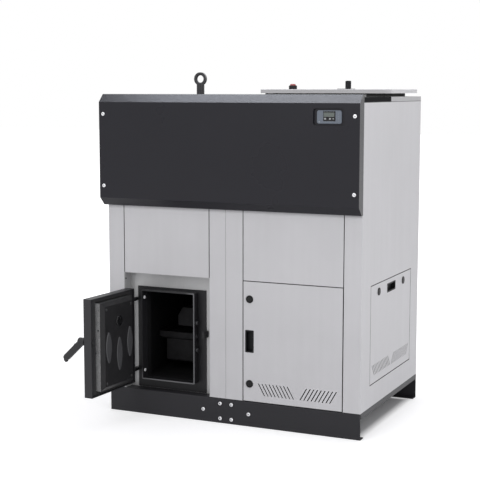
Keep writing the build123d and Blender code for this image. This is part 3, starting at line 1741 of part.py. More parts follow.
with BuildPart() as door_frame_screws:
    for z in left_screws:
        with BuildSketch(facing_right(collar_wall_left + collar_wall)):
            with Locations((screw_y, z)):
                Circle(frame_head_radius)
        extrude(amount=frame_head_height)
        with BuildSketch(facing_right(collar_wall_left + collar_wall)):
            with Locations((screw_y, z)):
                Circle(frame_screw_radius)
        extrude(amount=-(collar_wall + frame_nut_height))
        with BuildSketch(facing_right(collar_wall_left)):
            with Locations((screw_y, z)):
                RegularPolygon(frame_nut_radius, 6)
        extrude(amount=-frame_nut_height)
    for place, z in enumerate(right_screws):
        head = frame_head_radius if place == 1 else frame_knob_radius
        height = frame_head_height if place == 1 else frame_knob_height
        with BuildSketch(facing_right(collar_wall_right)):
            with Locations((screw_y, z)):
                Circle(head)
        extrude(amount=height)
        with BuildSketch(facing_right(collar_wall_right)):
            with Locations((screw_y, z)):
                Circle(frame_screw_radius)
        extrude(amount=-collar_wall)
    rims = [
        edge
        for edge in door_frame_screws.edges().filter_by(GeomType.CIRCLE)
        if edge.radius > frame_nut_radius - 0.1
        and min(
            abs(edge.center().X - collar_wall_left - collar_wall - frame_head_height),
            abs(edge.center().X - collar_wall_right - frame_head_height),
            abs(edge.center().X - collar_wall_right - frame_knob_height),
        )
        < 0.01
    ]
    fillet(rims, frame_head_height * 0.6)
door_frame_screws.part.label = "door_frame_screws"
export_step(door_frame_screws.part, "parts/door_frame_screws.step")

# Fire door, drawn in its own plan: x along its width from the hinge axis, y into the boiler

open_angle = radians(door_open_angle)
door_plane = Plane(
    origin=(door_axis_x, door_axis_y, 0),
    x_dir=(cos(open_angle), -sin(open_angle), 0),
    z_dir=(0, 0, 1),
)
door_left = door_hinge_inset
door_right = door_hinge_inset + door_width
door_middle = niche_centre_x - door_axis_x
door_outer = -door_hinge_setback
door_inner = door_thickness - door_hinge_setback
door_bottom = opening_centre_z - door_height / 2
seal_outer_x = opening_width / 2 - collar_wall / 2 + seal_width / 2
seal_outer_z = opening_height / 2 - collar_wall / 2 + seal_width / 2
seal_floor = door_inner - seal_depth + seal_proud
block_front = door_inner + block_reach
plate_face = block_front + plate_bevel_height
spindle_local = door_right - handle_edge


def door_level(z):
    """Level plane in the fire door's plan at height z."""
    return door_plane.offset(z)


def door_face(depth):
    """Plane on the fire door seen from its outer side, at a depth in the door's plan."""
    return Plane(
        origin=door_plane.from_local_coords(Vector(0, depth, 0)),
        x_dir=door_plane.x_dir,
        z_dir=-door_plane.y_dir,
    )


def door_side(reach):
    """Upright plane across the door: x goes outward from the door and y goes up."""
    return Plane(
        origin=door_plane.from_local_coords(Vector(reach, 0, 0)),
        x_dir=-door_plane.y_dir,
        z_dir=-door_plane.x_dir,
    )


def door_rectangle(width, height):
    """Rectangle round the middle of the fire door's opening."""
    with Locations((door_middle, opening_centre_z)):
        Rectangle(width, height)


with BuildPart() as fire_door_pan:
    with BuildSketch(door_level(door_bottom)):
        rectangle_between(door_left, door_outer, door_right, door_inner + door_lip_rise)
    extrude(amount=door_height)
    upright = fire_door_pan.edges().filter_by(Axis.Z)
    outer_bends = [e for e in upright if door_plane.to_local_coords(e.center()).Y < door_inner]
    fillet(outer_bends, door_rounding)
    with BuildSketch(door_face(door_inner)):
        with Locations((door_left + door_width / 2, opening_centre_z)):
            Rectangle(door_width - 2 * door_lip, door_height - 2 * door_lip)
    extrude(amount=-door_lip_rise, mode=Mode.SUBTRACT)
    for top in lug_tops:
        with BuildSketch(door_level(top + running_clearance)):
            Circle(knuckle_radius)
            rectangle_between(0, door_outer, door_left + door_rounding, knuckle_arm + door_outer)
        extrude(amount=knuckle_length)
    for top in lug_tops:
        with BuildSketch(door_level(top)):
            Circle(door_pin_radius + pin_clearance)
        extrude(amount=2 * knuckle_length, mode=Mode.SUBTRACT)
    with BuildSketch(door_face(door_inner)):
        door_rectangle(block_width, block_height)
    extrude(amount=door_thickness - door_skin, mode=Mode.SUBTRACT)
    with BuildSketch(door_face(door_inner)):
        door_rectangle(
            2 * (seal_outer_x + seat_clearance), 2 * (seal_outer_z + seat_clearance)
        )
    extrude(amount=door_inner - seal_floor, mode=Mode.SUBTRACT)
    with BuildSketch(door_face(door_outer)):
        with Locations((spindle_local, handle_z)):
            Circle(spindle_radius + pin_clearance)
    extrude(amount=-door_thickness, mode=Mode.SUBTRACT)
    with BuildSketch(door_face(door_outer)):
        with Locations((door_middle, opening_centre_z + sight_height)):
            Circle(sight_bore_radius)
    extrude(amount=-door_thickness, mode=Mode.SUBTRACT)
fire_door_pan.part.label = "fire_door_pan"
export_step(fire_door_pan.part, "parts/fire_door_pan.step")

with BuildPart() as fire_door_seal:
    with BuildSketch(door_face(seal_floor)):
        with Locations((door_middle, opening_centre_z)):
            Rectangle(2 * seal_outer_x, 2 * seal_outer_z)
            Rectangle(
                2 * (seal_outer_x - seal_width), 2 * (seal_outer_z - seal_width), mode=Mode.SUBTRACT
            )
    extrude(amount=-seal_depth)
    front_edges = fire_door_seal.faces().filter_by(GeomType.PLANE)
    seal_face = max(front_edges, key=lambda face: door_plane.to_local_coords(face.center()).Y)
    fillet(seal_face.edges(), seal_rounding)
fire_door_seal.part.label = "fire_door_seal"
export_step(fire_door_seal.part, "parts/fire_door_seal.step")

with BuildPart() as fire_door_insulation:
    with BuildSketch(door_face(door_outer + door_skin)):
        door_rectangle(block_width - 2 * block_clearance, block_height - 2 * block_clearance)
    extrude(amount=-(block_front - door_outer - door_skin))
    with BuildSketch(door_face(door_outer)):
        with Locations((door_middle, opening_centre_z + sight_height)):
            Circle(sight_bore_radius)
    extrude(amount=-(block_front - door_outer), mode=Mode.SUBTRACT)
fire_door_insulation.part.label = "fire_door_insulation"
export_step(fire_door_insulation.part, "parts/fire_door_insulation.step")


def pointed_oval(length, width):
    """Upright outline between two arcs, to be added to the sketch at hand."""
    radius = (length**2 + width**2) / (4 * width)
    reach = radius - width / 2
    left_arc = Pos(reach, 0) * Circle(radius, mode=Mode.PRIVATE)
    right_arc = Pos(-reach, 0) * Circle(radius, mode=Mode.PRIVATE)
    return left_arc & right_arc


# Pressed inner plate: a bevelled pan with three raised beads shaped like pointed ovals
flat_width = block_width - 2 * plate_bevel_width
flat_height = block_height - 2 * plate_bevel_width
beads = (
    (door_middle - bead_pitch, opening_centre_z - outer_bead_drop, bead_length),
    (door_middle, opening_centre_z - middle_bead_drop, middle_bead_length),
    (door_middle + bead_pitch, opening_centre_z - outer_bead_drop, bead_length),
)
plate_screws = [
    (door_middle + side * plate_screw_x, opening_centre_z + level * plate_screw_z)
    for side in (-1, 1)
    for level in (-1, 1)
]

with BuildPart() as fire_door_inner_plate:
    with BuildSketch(door_face(block_front)):
        door_rectangle(block_width - 2 * block_clearance, block_height - 2 * block_clearance)
    with BuildSketch(door_face(plate_face)):
        door_rectangle(flat_width, flat_height)
    loft(ruled=True)
    with BuildSketch(door_face(plate_face)) as bead_tops:
        for x, z, length in beads:
            add(Pos(x, z) * pointed_oval(length, bead_width))
        fillet(bead_tops.vertices(), bead_tip)
    extrude(amount=-bead_height)
    bead_rims = [
        edge
        for edge in fire_door_inner_plate.edges()
        if door_plane.to_local_coords(edge.center()).Y > plate_face + bead_height - 0.01
    ]
    fillet(bead_rims, bead_rounding)
    with BuildSketch(door_face(block_front)):
        door_rectangle(block_width - 2 * plate_thickness, block_height - 2 * plate_thickness)
    with BuildSketch(door_face(plate_face - plate_thickness)):
        door_rectangle(flat_width - plate_thickness, flat_height - plate_thickness)
    loft(ruled=True, mode=Mode.SUBTRACT)
    with BuildSketch(door_face(plate_face - plate_thickness)) as bead_hollows:
        for x, z, length in beads:
            hollow = pointed_oval(length - 2 * plate_thickness, bead_width - 2 * plate_thickness)
            add(Pos(x, z) * hollow)
        fillet(bead_hollows.vertices(), bead_tip - plate_thickness)
    extrude(amount=-bead_height, mode=Mode.SUBTRACT)
    with BuildSketch(door_face(block_front)):
        with Locations((door_middle, opening_centre_z + sight_height)):
            Circle(sight_bore_radius)
        with Locations(*plate_screws):
            Circle(plate_screw_radius + bolt_clearance)
    extrude(amount=-(plate_face + bead_height - block_front), mode=Mode.SUBTRACT)
fire_door_inner_plate.part.label = "fire_door_inner_plate"
export_step(fire_door_inner_plate.part, "parts/fire_door_inner_plate.step")

with BuildPart() as fire_door_screws:
    with BuildSketch(door_face(plate_face)):
        with Locations(*plate_screws):
            Circle(plate_head_radius)
    extrude(amount=-plate_head_height)
    screw_rims = [
        edge
        for edge in fire_door_screws.edges()
        if door_plane.to_local_coords(edge.center()).Y > plate_face + plate_head_height - 0.01
    ]
    fillet(screw_rims, plate_head_height * 0.6)
    with BuildSketch(door_face(plate_face)):
        with Locations(*plate_screws):
            Circle(plate_screw_radius)
    extrude(amount=plate_thickness)
fire_door_screws.part.label = "fire_door_screws"
export_step(fire_door_screws.part, "parts/fire_door_screws.step")

with BuildPart() as fire_door_sight_glass:
    with BuildSketch(door_face(plate_face)):
        with Locations((door_middle, opening_centre_z + sight_height)):
            Circle(sight_ring_radius)
    extrude(amount=-sight_ring_height)
    ring_rims = [
        edge
        for edge in fire_door_sight_glass.edges()
        if door_plane.to_local_coords(edge.center()).Y > plate_face + sight_ring_height - 0.01
    ]
    fillet(ring_rims, sight_ring_height * 0.4)
    with BuildSketch(door_face(plate_face)):
        with Locations((door_middle, opening_centre_z + sight_height)):
            Circle(sight_bore_radius)
    extrude(amount=-sight_ring_height, mode=Mode.SUBTRACT)
    with BuildSketch(door_face(plate_face)):
        with Locations((door_middle, opening_centre_z + sight_height)):
            Circle(sight_bore_radius)
    extrude(amount=-sight_glass)
fire_door_sight_glass.part.label = "fire_door_sight_glass"
export_step(fire_door_sight_glass.part, "parts/fire_door_sight_glass.step")

# Handle: spindle, boss, sloping lever and the cam inside the door
lever_angle = degrees(atan2(lever_drop, lever_reach))
lever_start = (door_hinge_setback + handle_boss_length / 2, handle_z)
lever_end = (
    lever_start[0] + lever_length * cos(radians(lever_angle)),
    lever_start[1] - lever_length * sin(radians(lever_angle)),
)
lever_middle = Location(
    ((lever_start[0] + lever_end[0]) / 2, (lever_start[1] + lever_end[1]) / 2, 0),
    (0, 0, 1),
    -lever_angle,
)
with BuildPart() as lever:
    with BuildSketch(door_side(spindle_local)):
        with Locations(lever_middle):
            SlotCenterToCenter(lever_length, lever_width)
    extrude(amount=lever_thickness / 2, both=True)
    lever_sides = lever.faces().sort_by(SortBy.AREA)[-2:]
    fillet([edge for side in lever_sides for edge in side.edges()], lever_rounding)
    with BuildSketch(door_side(spindle_local)):
        with Locations(lever_middle):
            with Locations((-lever_length / 6, lever_width / 2 - lever_lump_radius / 2)):
                Circle(lever_lump_radius)
            with Locations((lever_length / 2 + lever_width / 2, -lever_width / 4)):
                RectangleRounded(lever_foot_length, lever_foot_width, lever_foot_length / 3)
    extrude(amount=lever_thickness / 2 - lever_rounding, both=True)

with BuildPart() as fire_door_handle:
    with BuildSketch(door_face(-door_hinge_setback - running_clearance)):
        with Locations((spindle_local, handle_z)):
            Circle(handle_boss_radius)
    extrude(amount=handle_boss_length)
    fillet(fire_door_handle.edges().filter_by(GeomType.CIRCLE), handle_rounding)
    add(lever.part)
    with BuildSketch(door_face(-door_hinge_setback - running_clearance)):
        with Locations((spindle_local, handle_z)):
            Circle(spindle_radius)
    extrude(
        amount=-(door_thickness + running_clearance + door_lip_rise + cam_lift + cam_thickness)
    )
    with BuildSketch(door_face(door_inner + door_lip_rise + cam_lift)):
        with Locations((spindle_local, handle_z)):
            Circle(cam_hub_radius)
            Rectangle(cam_width, cam_length, align=(Align.CENTER, Align.MAX))
    extrude(amount=-cam_thickness)
fire_door_handle.part.label = "fire_door_handle"
export_step(fire_door_handle.part, "parts/fire_door_handle.step")

# Burner: air box with its flange, grate tray, hood, fan housing and impeller

burner_top = burner_bottom + burner_height
burner_flange_left = seam_x + sheet
flange_front = burner_centre_y - burner_width / 2 - burner_flange_margin
flange_rear = burner_centre_y + burner_width / 2 + burner_flange_margin
hood_middle_z = (hood_bottom + hood_top) / 2
hood_height = hood_top - hood_bottom


def air_box_outline(inset):
    """Section of the burner's air box, seen from the right."""
    with Locations((burner_centre_y, burner_bottom + burner_height / 2)):
        Rectangle(burner_width - 2 * inset, burner_height - 2 * inset)


def hood_outline(growth):
    """Section of the burner's hood, seen from the right."""
    with Locations((burner_centre_y, hood_middle_z)):
        Rectangle(hood_width + 2 * growth, hood_height + 2 * growth)


with BuildPart() as burner_body:
    with BuildSketch(facing_right(burner_left)):
        air_box_outline(0)
    extrude(amount=burner_right - burner_left)
    fillet(burner_body.edges().filter_by(Axis.X), burner_corner)
    with BuildSketch(facing_right(burner_flange_left)):
        rectangle_between(
            flange_front,
            burner_flange_bottom,
            flange_rear,
            burner_flange_bottom + burner_flange_height,
        )
        with Locations((burner_centre_y, hood_middle_z)):
            Rectangle(
                hood_width + 2 * block_clearance,
                hood_height + 2 * block_clearance,
                mode=Mode.SUBTRACT,
            )
    extrude(amount=burner_flange)
    with BuildSketch(facing_right(burner_left + burner_wall)):
        air_box_outline(burner_wall)
    extrude(amount=burner_right - burner_left - burner_wall, mode=Mode.SUBTRACT)
    with BuildSketch(up(burner_top - burner_wall)):
        with Locations(((tray_left + tray_right) / 2, burner_centre_y)):
            with GridLocations(air_hole_pitch, air_hole_pitch, air_hole_rows, air_hole_rows):
                Circle(air_hole_radius)
    extrude(amount=burner_wall, mode=Mode.SUBTRACT)
burner_body.part.label = "burner_body"
export_step(burner_body.part, "parts/burner_body.step")

tray_front = burner_centre_y - burner_width / 2 - tray_overhang
tray_rear = burner_centre_y + burner_width / 2 + tray_overhang
with BuildPart() as burner_grate:
    with BuildSketch(up(burner_top)):
        rectangle_between(
            tray_left + tray_overhang,
            tray_front + tray_overhang,
            tray_right - tray_overhang,
            tray_rear - tray_overhang,
        )
    extrude(amount=tray_step)
    with BuildSketch(up(burner_top + tray_step)):
        rectangle_between(tray_left, tray_front, tray_right, tray_rear)
    extrude(amount=tray_height - tray_step)
    upright = [
        edge
        for edge in burner_grate.edges().filter_by(Axis.Z)
        if edge.center().Z > burner_top + tray_step
    ]
    fillet(upright, tray_corner)
    with BuildSketch(up(burner_top + tray_step + tray_wall)):
        rectangle_between(
            tray_left + tray_wall,
            tray_front + tray_wall,
            tray_right - tray_wall,
            tray_rear - tray_wall,
        )
    extrude(amount=tray_height, mode=Mode.SUBTRACT)
    with BuildSketch(up(burner_top)):
        with Locations(((tray_left + tray_right) / 2, burner_centre_y)):
            with GridLocations(air_hole_pitch, air_hole_pitch, air_hole_rows, air_hole_rows):
                Circle(air_hole_radius)
    extrude(amount=tray_height, mode=Mode.SUBTRACT)
burner_grate.part.label = "burner_grate"
export_step(burner_grate.part, "parts/burner_grate.step")

with BuildPart() as burner_hood:
    with BuildSketch(facing_front(burner_centre_y - hood_width / 2)):
        Polygon(
            (hood_left, hood_bottom),
            (hood_right, hood_bottom),
            (hood_right, hood_top),
            (hood_left + hood_chamfer_x, hood_top),
            (hood_left, hood_top - hood_chamfer_z),
            align=None,
        )
    extrude(amount=-hood_width)
    with BuildSketch(facing_front(burner_centre_y - hood_width / 2 + burner_wall)):
        Polygon(
            (hood_left - burner_wall, hood_bottom - burner_wall),
            (tray_right, hood_bottom - burner_wall),
            (tray_right, hood_bottom + burner_wall),
            (hood_right - burner_wall, hood_bottom + burner_wall),
            (hood_right - burner_wall, hood_top - burner_wall),
            (hood_left + hood_chamfer_x + burner_wall / 2, hood_top - burner_wall),
            (hood_left - burner_wall, hood_top - hood_chamfer_z - 2 * burner_wall),
            align=None,
        )
    extrude(amount=-(hood_width - 2 * burner_wall), mode=Mode.SUBTRACT)
    with BuildSketch(facing_right(burner_flange_left + burner_flange)):
        hood_outline(hood_flange)
        with Locations((burner_centre_y, hood_middle_z)):
            Rectangle(hood_width, hood_height, mode=Mode.SUBTRACT)
    extrude(amount=burner_flange)
    with BuildSketch(up(hood_top - burner_wall)):
        with Locations((chute_x, burner_centre_y)):
            Circle(chute_radius + running_clearance)
    extrude(amount=burner_wall, mode=Mode.SUBTRACT)
burner_hood.part.label = "burner_hood"
export_step(burner_hood.part, "parts/burner_hood.step")

fan_front = burner_centre_y - fan_width / 2
fan_rear = burner_centre_y + fan_width / 2
duct_top = burner_top - burner_wall
duct_bottom = fan_centre_z + duct_rise


def scroll_outline(inset, left):
    """Fan scroll with its duct towards the burner, seen from the front."""
    with Locations((fan_centre_x, fan_centre_z)):
        Circle(fan_radius - inset)
    rectangle_between(left, duct_bottom + inset, fan_centre_x, duct_top - inset)


with BuildPart() as burner_fan_housing:
    with BuildSketch(facing_front(fan_front)):
        scroll_outline(0, burner_right + fan_wall)
    extrude(amount=-fan_width)
    with BuildSketch(facing_right(burner_right)):
        air_box_outline(0)
    extrude(amount=fan_wall)
    with BuildSketch(facing_front(fan_front + fan_wall)):
        scroll_outline(fan_wall, burner_right)
    extrude(amount=-(fan_width - 2 * fan_wall), mode=Mode.SUBTRACT)
    with BuildSketch(facing_front(fan_front)):
        with Locations((fan_centre_x, fan_centre_z)):
            Circle(fan_inlet_radius + fan_wall)
    extrude(amount=fan_inlet_lip)
    with BuildSketch(facing_front(fan_front - fan_inlet_lip)):
        with Locations((fan_centre_x, fan_centre_z)):
            Circle(fan_inlet_radius)
    extrude(amount=-(fan_inlet_lip + fan_wall), mode=Mode.SUBTRACT)
    with BuildSketch(facing_front(fan_rear)):
        with Locations((fan_centre_x, fan_centre_z)):
            Circle(motor_radius)
    extrude(amount=-motor_length)
    motor_rims = [
        edge
        for edge in burner_fan_housing.edges().filter_by(GeomType.CIRCLE)
        if abs(edge.radius - motor_radius) < 0.01
    ]
    fillet(max(motor_rims, key=lambda edge: edge.center().Y), motor_rounding)
    with BuildSketch(facing_front(fan_rear - fan_wall)):
        with Locations((fan_centre_x, fan_centre_z)):
            Circle(motor_shaft_radius + pin_clearance)
    extrude(amount=-(fan_wall + motor_bearing), mode=Mode.SUBTRACT)
burner_fan_housing.part.label = "burner_fan_housing"
export_step(burner_fan_housing.part, "parts/burner_fan_housing.step")

impeller_front = fan_front + fan_wall + impeller_gap
impeller_rear = impeller_front + impeller_width
with BuildPart() as burner_fan_impeller:
    with BuildSketch(facing_front(impeller_rear)):
        with Locations((fan_centre_x, fan_centre_z)):
            Circle(impeller_radius)
    extrude(amount=impeller_disc)
    with BuildSketch(facing_front(impeller_front)):
        with Locations((fan_centre_x, fan_centre_z)):
            with PolarLocations(blade_middle_radius, blade_count):
                Rectangle(blade_length, impeller_disc, rotation=blade_angle)
    extrude(amount=-(impeller_width - impeller_disc / 2))
    with BuildSketch(facing_front(impeller_rear)):
        with Locations((fan_centre_x, fan_centre_z)):
            Circle(impeller_hub_radius)
    extrude(amount=impeller_hub_length)
    with BuildSketch(facing_front(impeller_rear)):
        with Locations((fan_centre_x, fan_centre_z)):
            Circle(motor_shaft_radius)
    extrude(amount=-(fan_rear + motor_bearing - seat_clearance - impeller_rear))
burner_fan_impeller.part.label = "burner_fan_impeller"
export_step(burner_fan_impeller.part, "parts/burner_fan_impeller.step")

# Pellet feed: auger tube, screw with its helical flight, and gear motor

tube_inner_radius = auger_tube_radius - auger_tube_wall


def auger_section(radius):
    """Circle round the auger's axis, seen from the right."""
    with Locations((burner_centre_y, auger_z)):
        Circle(radius)


with BuildPart() as auger_tube:
    with BuildSketch(facing_right(auger_left)):
        auger_section(auger_tube_radius)
    extrude(amount=auger_right - auger_left)
    with BuildSketch(up(auger_z)):
        throat_plan(0)
    extrude(amount=auger_flange_top - auger_z)
    with BuildSketch(up(auger_flange_top - throat_flange)):
        throat_plan(throat_lap)
    extrude(amount=throat_flange)
    with BuildSketch(up(hood_top - 2 * burner_wall)):
        with Locations((chute_x, burner_centre_y)):
            Circle(chute_radius)
    extrude(amount=auger_z - hood_top + 2 * burner_wall)
    with BuildSketch(facing_right(auger_right - auger_end)):
        auger_section(auger_tube_radius + auger_flange_reach)
    extrude(amount=auger_end)
    with BuildSketch(facing_right(auger_left + auger_end)):
        auger_section(tube_inner_radius)
    extrude(amount=auger_right - auger_left - 2 * auger_end, mode=Mode.SUBTRACT)
    with BuildSketch(up(auger_z)):
        throat_plan(-hopper_wall)
    extrude(amount=auger_flange_top - auger_z, mode=Mode.SUBTRACT)
    with BuildSketch(up(hood_top - 2 * burner_wall)):
        with Locations((chute_x, burner_centre_y)):
            Circle(chute_radius - auger_tube_wall)
    extrude(amount=auger_z - hood_top + 2 * burner_wall, mode=Mode.SUBTRACT)
    with BuildSketch(facing_right(auger_left)):
        auger_section(auger_shaft_radius + pin_clearance)
    extrude(amount=auger_right - auger_left, mode=Mode.SUBTRACT)
auger_tube.part.label = "auger_tube"
export_step(auger_tube.part, "parts/auger_tube.step")

flight_start = auger_left + auger_end + flight_end_gap
flight_length = auger_right - auger_left - 2 * (auger_end + flight_end_gap)
flight_middle = (auger_shaft_radius + flight_radius) / 2
flight_height = flight_radius - auger_shaft_radius + flight_root
with BuildPart() as auger_screw:
    with BuildLine():
        spiral = Helix(
            flight_pitch,
            flight_length,
            flight_middle,
            center=(flight_start, burner_centre_y, auger_z),
            direction=(1, 0, 0),
        )
    with BuildSketch(
        Plane(
            origin=spiral @ 0,
            x_dir=(spiral @ 0) - Vector(flight_start, burner_centre_y, auger_z),
            z_dir=spiral % 0,
        )
    ):
        with Locations((-flight_root / 2, 0)):
            Rectangle(flight_height, flight_thickness)
    sweep(path=spiral, is_frenet=True)
    with BuildSketch(facing_right(auger_left)):
        auger_section(auger_shaft_radius)
    extrude(amount=auger_right - auger_left + shaft_drive_length)
auger_screw.part.label = "auger_screw"
export_step(auger_screw.part, "parts/auger_screw.step")

gearbox_left = auger_right + seat_clearance
with BuildPart() as gear_motor:
    with BuildSketch(facing_right(gearbox_left)):
        with Locations((burner_centre_y, auger_z)):
            RectangleRounded(gearbox_width, gearbox_width, gearbox_corner)
    extrude(amount=gearbox_length)
    with BuildSketch(up(auger_z - gearbox_width / 2)):
        with Locations((gearbox_left + gearbox_length / 2 + gear_motor_offset, burner_centre_y)):
            Circle(gear_motor_radius)
    extrude(amount=-gear_motor_length)
    fillet(gear_motor.faces().sort_by(Axis.Z)[0].edges(), motor_rounding)
    with BuildSketch(facing_right(gearbox_left)):
        auger_section(auger_shaft_radius + pin_clearance)
    extrude(amount=shaft_drive_length + seat_clearance, mode=Mode.SUBTRACT)
gear_motor.part.label = "gear_motor"
export_step(gear_motor.part, "parts/gear_motor.step")

# Recessed pulls and quarter-turn locks, drawn on the plane of the door's outer face


def recessed_pull(face, centre, width, height):
    """Moulded finger pull: a cup behind the sheet with a flange and a lip to hook behind."""
    cup_width = width - 2 * pull_flange
    cup_height = height - 2 * pull_flange
    with BuildPart() as cup:
        with BuildSketch(face):
            with Locations(centre):
                RectangleRounded(width, height, pull_corner)
        extrude(amount=pull_proud)
        fillet(cup.faces().sort_by(SortBy.AREA)[-1].edges(), pull_edge)
        with BuildSketch(face):
            with Locations(centre):
                RectangleRounded(cup_width, cup_height, pull_corner)
        extrude(amount=-pull_depth)
        with BuildSketch(face.offset(-pull_wall)):
            with Locations(centre):
                Rectangle(cup_width - 2 * pull_wall, cup_height - 2 * pull_wall)
        extrude(amount=-(pull_depth - 2 * pull_wall), mode=Mode.SUBTRACT)
        with BuildSketch(face.offset(pull_proud)):
            with Locations(centre):
                Rectangle(
                    width - 2 * pull_flange - 2 * pull_lip,
                    height - 2 * pull_flange - 2 * pull_lip,
                )
        extrude(amount=-(pull_proud + pull_wall), mode=Mode.SUBTRACT)
    return cup.part


def lock_housing(face, centres):
    """Lock bodies with their round heads, the neck through the sheet and a ring nut behind."""
    with BuildPart() as housing:
        with BuildSketch(face):
            with Locations(*centres):
                Circle(lock_head_radius)
        extrude(amount=lock_head_height)
        outer_rims = [
            edge
            for edge in housing.edges()
            if abs((edge.center() - face.origin).dot(face.z_dir) - lock_head_height) < 0.01
        ]
        fillet(outer_rims, lock_head_height * 0.4)
        with BuildSketch(face):
            with Locations(*centres):
                Circle(lock_neck_radius)
        extrude(amount=-lock_neck_length)
        with BuildSketch(face.offset(-sheet)):
            with Locations(*centres):
                RegularPolygon(lock_nut_radius, 6)
        extrude(amount=-lock_nut_height)
        with BuildSketch(face.offset(lock_head_height)):
            with Locations(*centres):
                Circle(lock_core_radius + pin_clearance)
        extrude(amount=-(lock_head_height + lock_neck_length), mode=Mode.SUBTRACT)
    return housing.part


def lock_core(face, centre, cam_turn):
    """Quarter-turn core with a slot for a coin and its cam, which points along cam_turn."""
    with BuildPart() as core:
        with BuildSketch(face.offset(lock_head_height)):
            with Locations(centre):
                Circle(lock_core_radius)
        extrude(amount=-(lock_head_height + lock_cam_depth + lock_cam_thickness))
        with BuildSketch(face.offset(lock_head_height)):
            with Locations(centre):
                Rectangle(lock_slot_length, lock_slot_width, rotation=cam_turn)
        extrude(amount=-lock_slot_depth, mode=Mode.SUBTRACT)
        with BuildSketch(face.offset(-lock_cam_depth)):
            with Locations(Location((centre[0], centre[1], 0), (0, 0, 1), cam_turn)):
                Rectangle(lock_cam_length, lock_cam_width, align=(Align.MIN, Align.CENTER))
                Circle(lock_cam_width / 2)
        extrude(amount=-lock_cam_thickness)
    return core.part


# Service door in the front of the hopper module

service_left = hopper_seams[0] + panel_gap
service_right = hopper_seams[1] - service_hinge_gap
service_height = service_door_top - service_door_bottom
pivot_x = service_right - pivot_inset
pivot_y = front_y + pivot_setback
lock_x = service_left + lock_inset
lock_middle_z = (service_door_bottom + service_door_top) / 2
service_locks = [(lock_x, lock_middle_z + side * lock_spread / 2) for side in (1, -1)]
service_face = facing_front(front_y)
service_pull_centre = (lock_x - pull_shift, lock_middle_z + pull_rise)


def vent_slots(first, foot, pitch, count, width, rise, lean):
    """Row of leaning slots: each foot is a pitch further on, each head is moved by the lean."""
    for step in range(count):
        with Locations((first + step * pitch, foot)):
            Polygon((0, 0), (width, 0), (width + lean, rise), (lean, rise), align=None)


vent_group_width = (vent_count - 1) * vent_pitch
vent_first_x = (hopper_seams[0] + hopper_seams[1]) / 2 - vent_reach
left_vent_foot = vent_first_x + vent_lean - vent_slot / 2
right_vent_foot = left_vent_foot + vent_group_width + vent_middle_gap - vent_lean + vent_slot
with BuildPart() as service_door:
    with BuildSketch(service_face):
        rectangle_between(service_left, service_door_bottom, service_right, service_door_top)
    extrude(amount=-service_door_depth)
    fillet(service_door.faces().sort_by(Axis.Y)[0].edges(), door_sheet_rounding)
    with BuildSketch(facing_front(front_y + sheet)):
        rectangle_between(
            service_left + sheet,
            service_door_bottom + sheet,
            service_right - sheet,
            service_door_top - sheet,
        )
    extrude(amount=-service_door_depth, mode=Mode.SUBTRACT)
    with BuildSketch(service_face):
        vent_slots(
            left_vent_foot, vent_foot_z, vent_pitch, vent_count, vent_slot, vent_rise, -vent_lean
        )
        vent_slots(
            right_vent_foot, vent_foot_z, vent_pitch, vent_count, vent_slot, vent_rise, vent_lean
        )
        with Locations(*service_locks):
            Circle(lock_neck_radius + bolt_clearance)
        with Locations(service_pull_centre):
            Rectangle(
                pull_width - 2 * pull_flange + 2 * block_clearance,
                pull_height - 2 * pull_flange + 2 * block_clearance,
            )
    extrude(amount=-sheet, mode=Mode.SUBTRACT)
    with BuildSketch(up(service_door_bottom)):
        with Locations((pivot_x, pivot_y)):
            Circle(pivot_radius + pin_clearance)
    extrude(amount=service_height, mode=Mode.SUBTRACT)
service_door.part.label = "service_door"
export_step(service_door.part, "parts/service_door.step")

with BuildPart() as service_door_hinges:
    for low, high, pin_low, pin_high in (
        (base_height, base_height + pivot_plate, base_height, service_door_bottom + pivot_pin),
        (service_door_top + seat_clearance, niche_top, service_door_top - pivot_pin, niche_top),
    ):
        with BuildSketch(up(low)):
            rectangle_between(
                hopper_seams[1] - seat_clearance - pivot_plate_width,
                front_y + sheet,
                hopper_seams[1] - seat_clearance,
                front_y + pivot_plate_depth,
            )
        extrude(amount=high - low)
        with BuildSketch(up(pin_low)):
            with Locations((pivot_x, pivot_y)):
                Circle(pivot_radius)
        extrude(amount=pin_high - pin_low)
service_door_hinges.part.label = "service_door_hinges"
export_step(service_door_hinges.part, "parts/service_door_hinges.step")

service_door_pull = recessed_pull(service_face, service_pull_centre, pull_width, pull_height)
service_door_pull.label = "service_door_pull"
export_step(service_door_pull, "parts/service_door_pull.step")

service_lock_housings = lock_housing(service_face, service_locks)
service_lock_housings.label = "service_lock_housings"
export_step(service_lock_housings, "parts/service_lock_housings.step")

for lock_name, centre, turn in (
    ("service_lock_upper", service_locks[0], 270),
    ("service_lock_lower", service_locks[1], 90),
):
    service_lock = lock_core(service_face, centre, turn)
    service_lock.label = lock_name
    export_step(service_lock, f"parts/{lock_name}.step")

# Side door in the right side of the hopper module

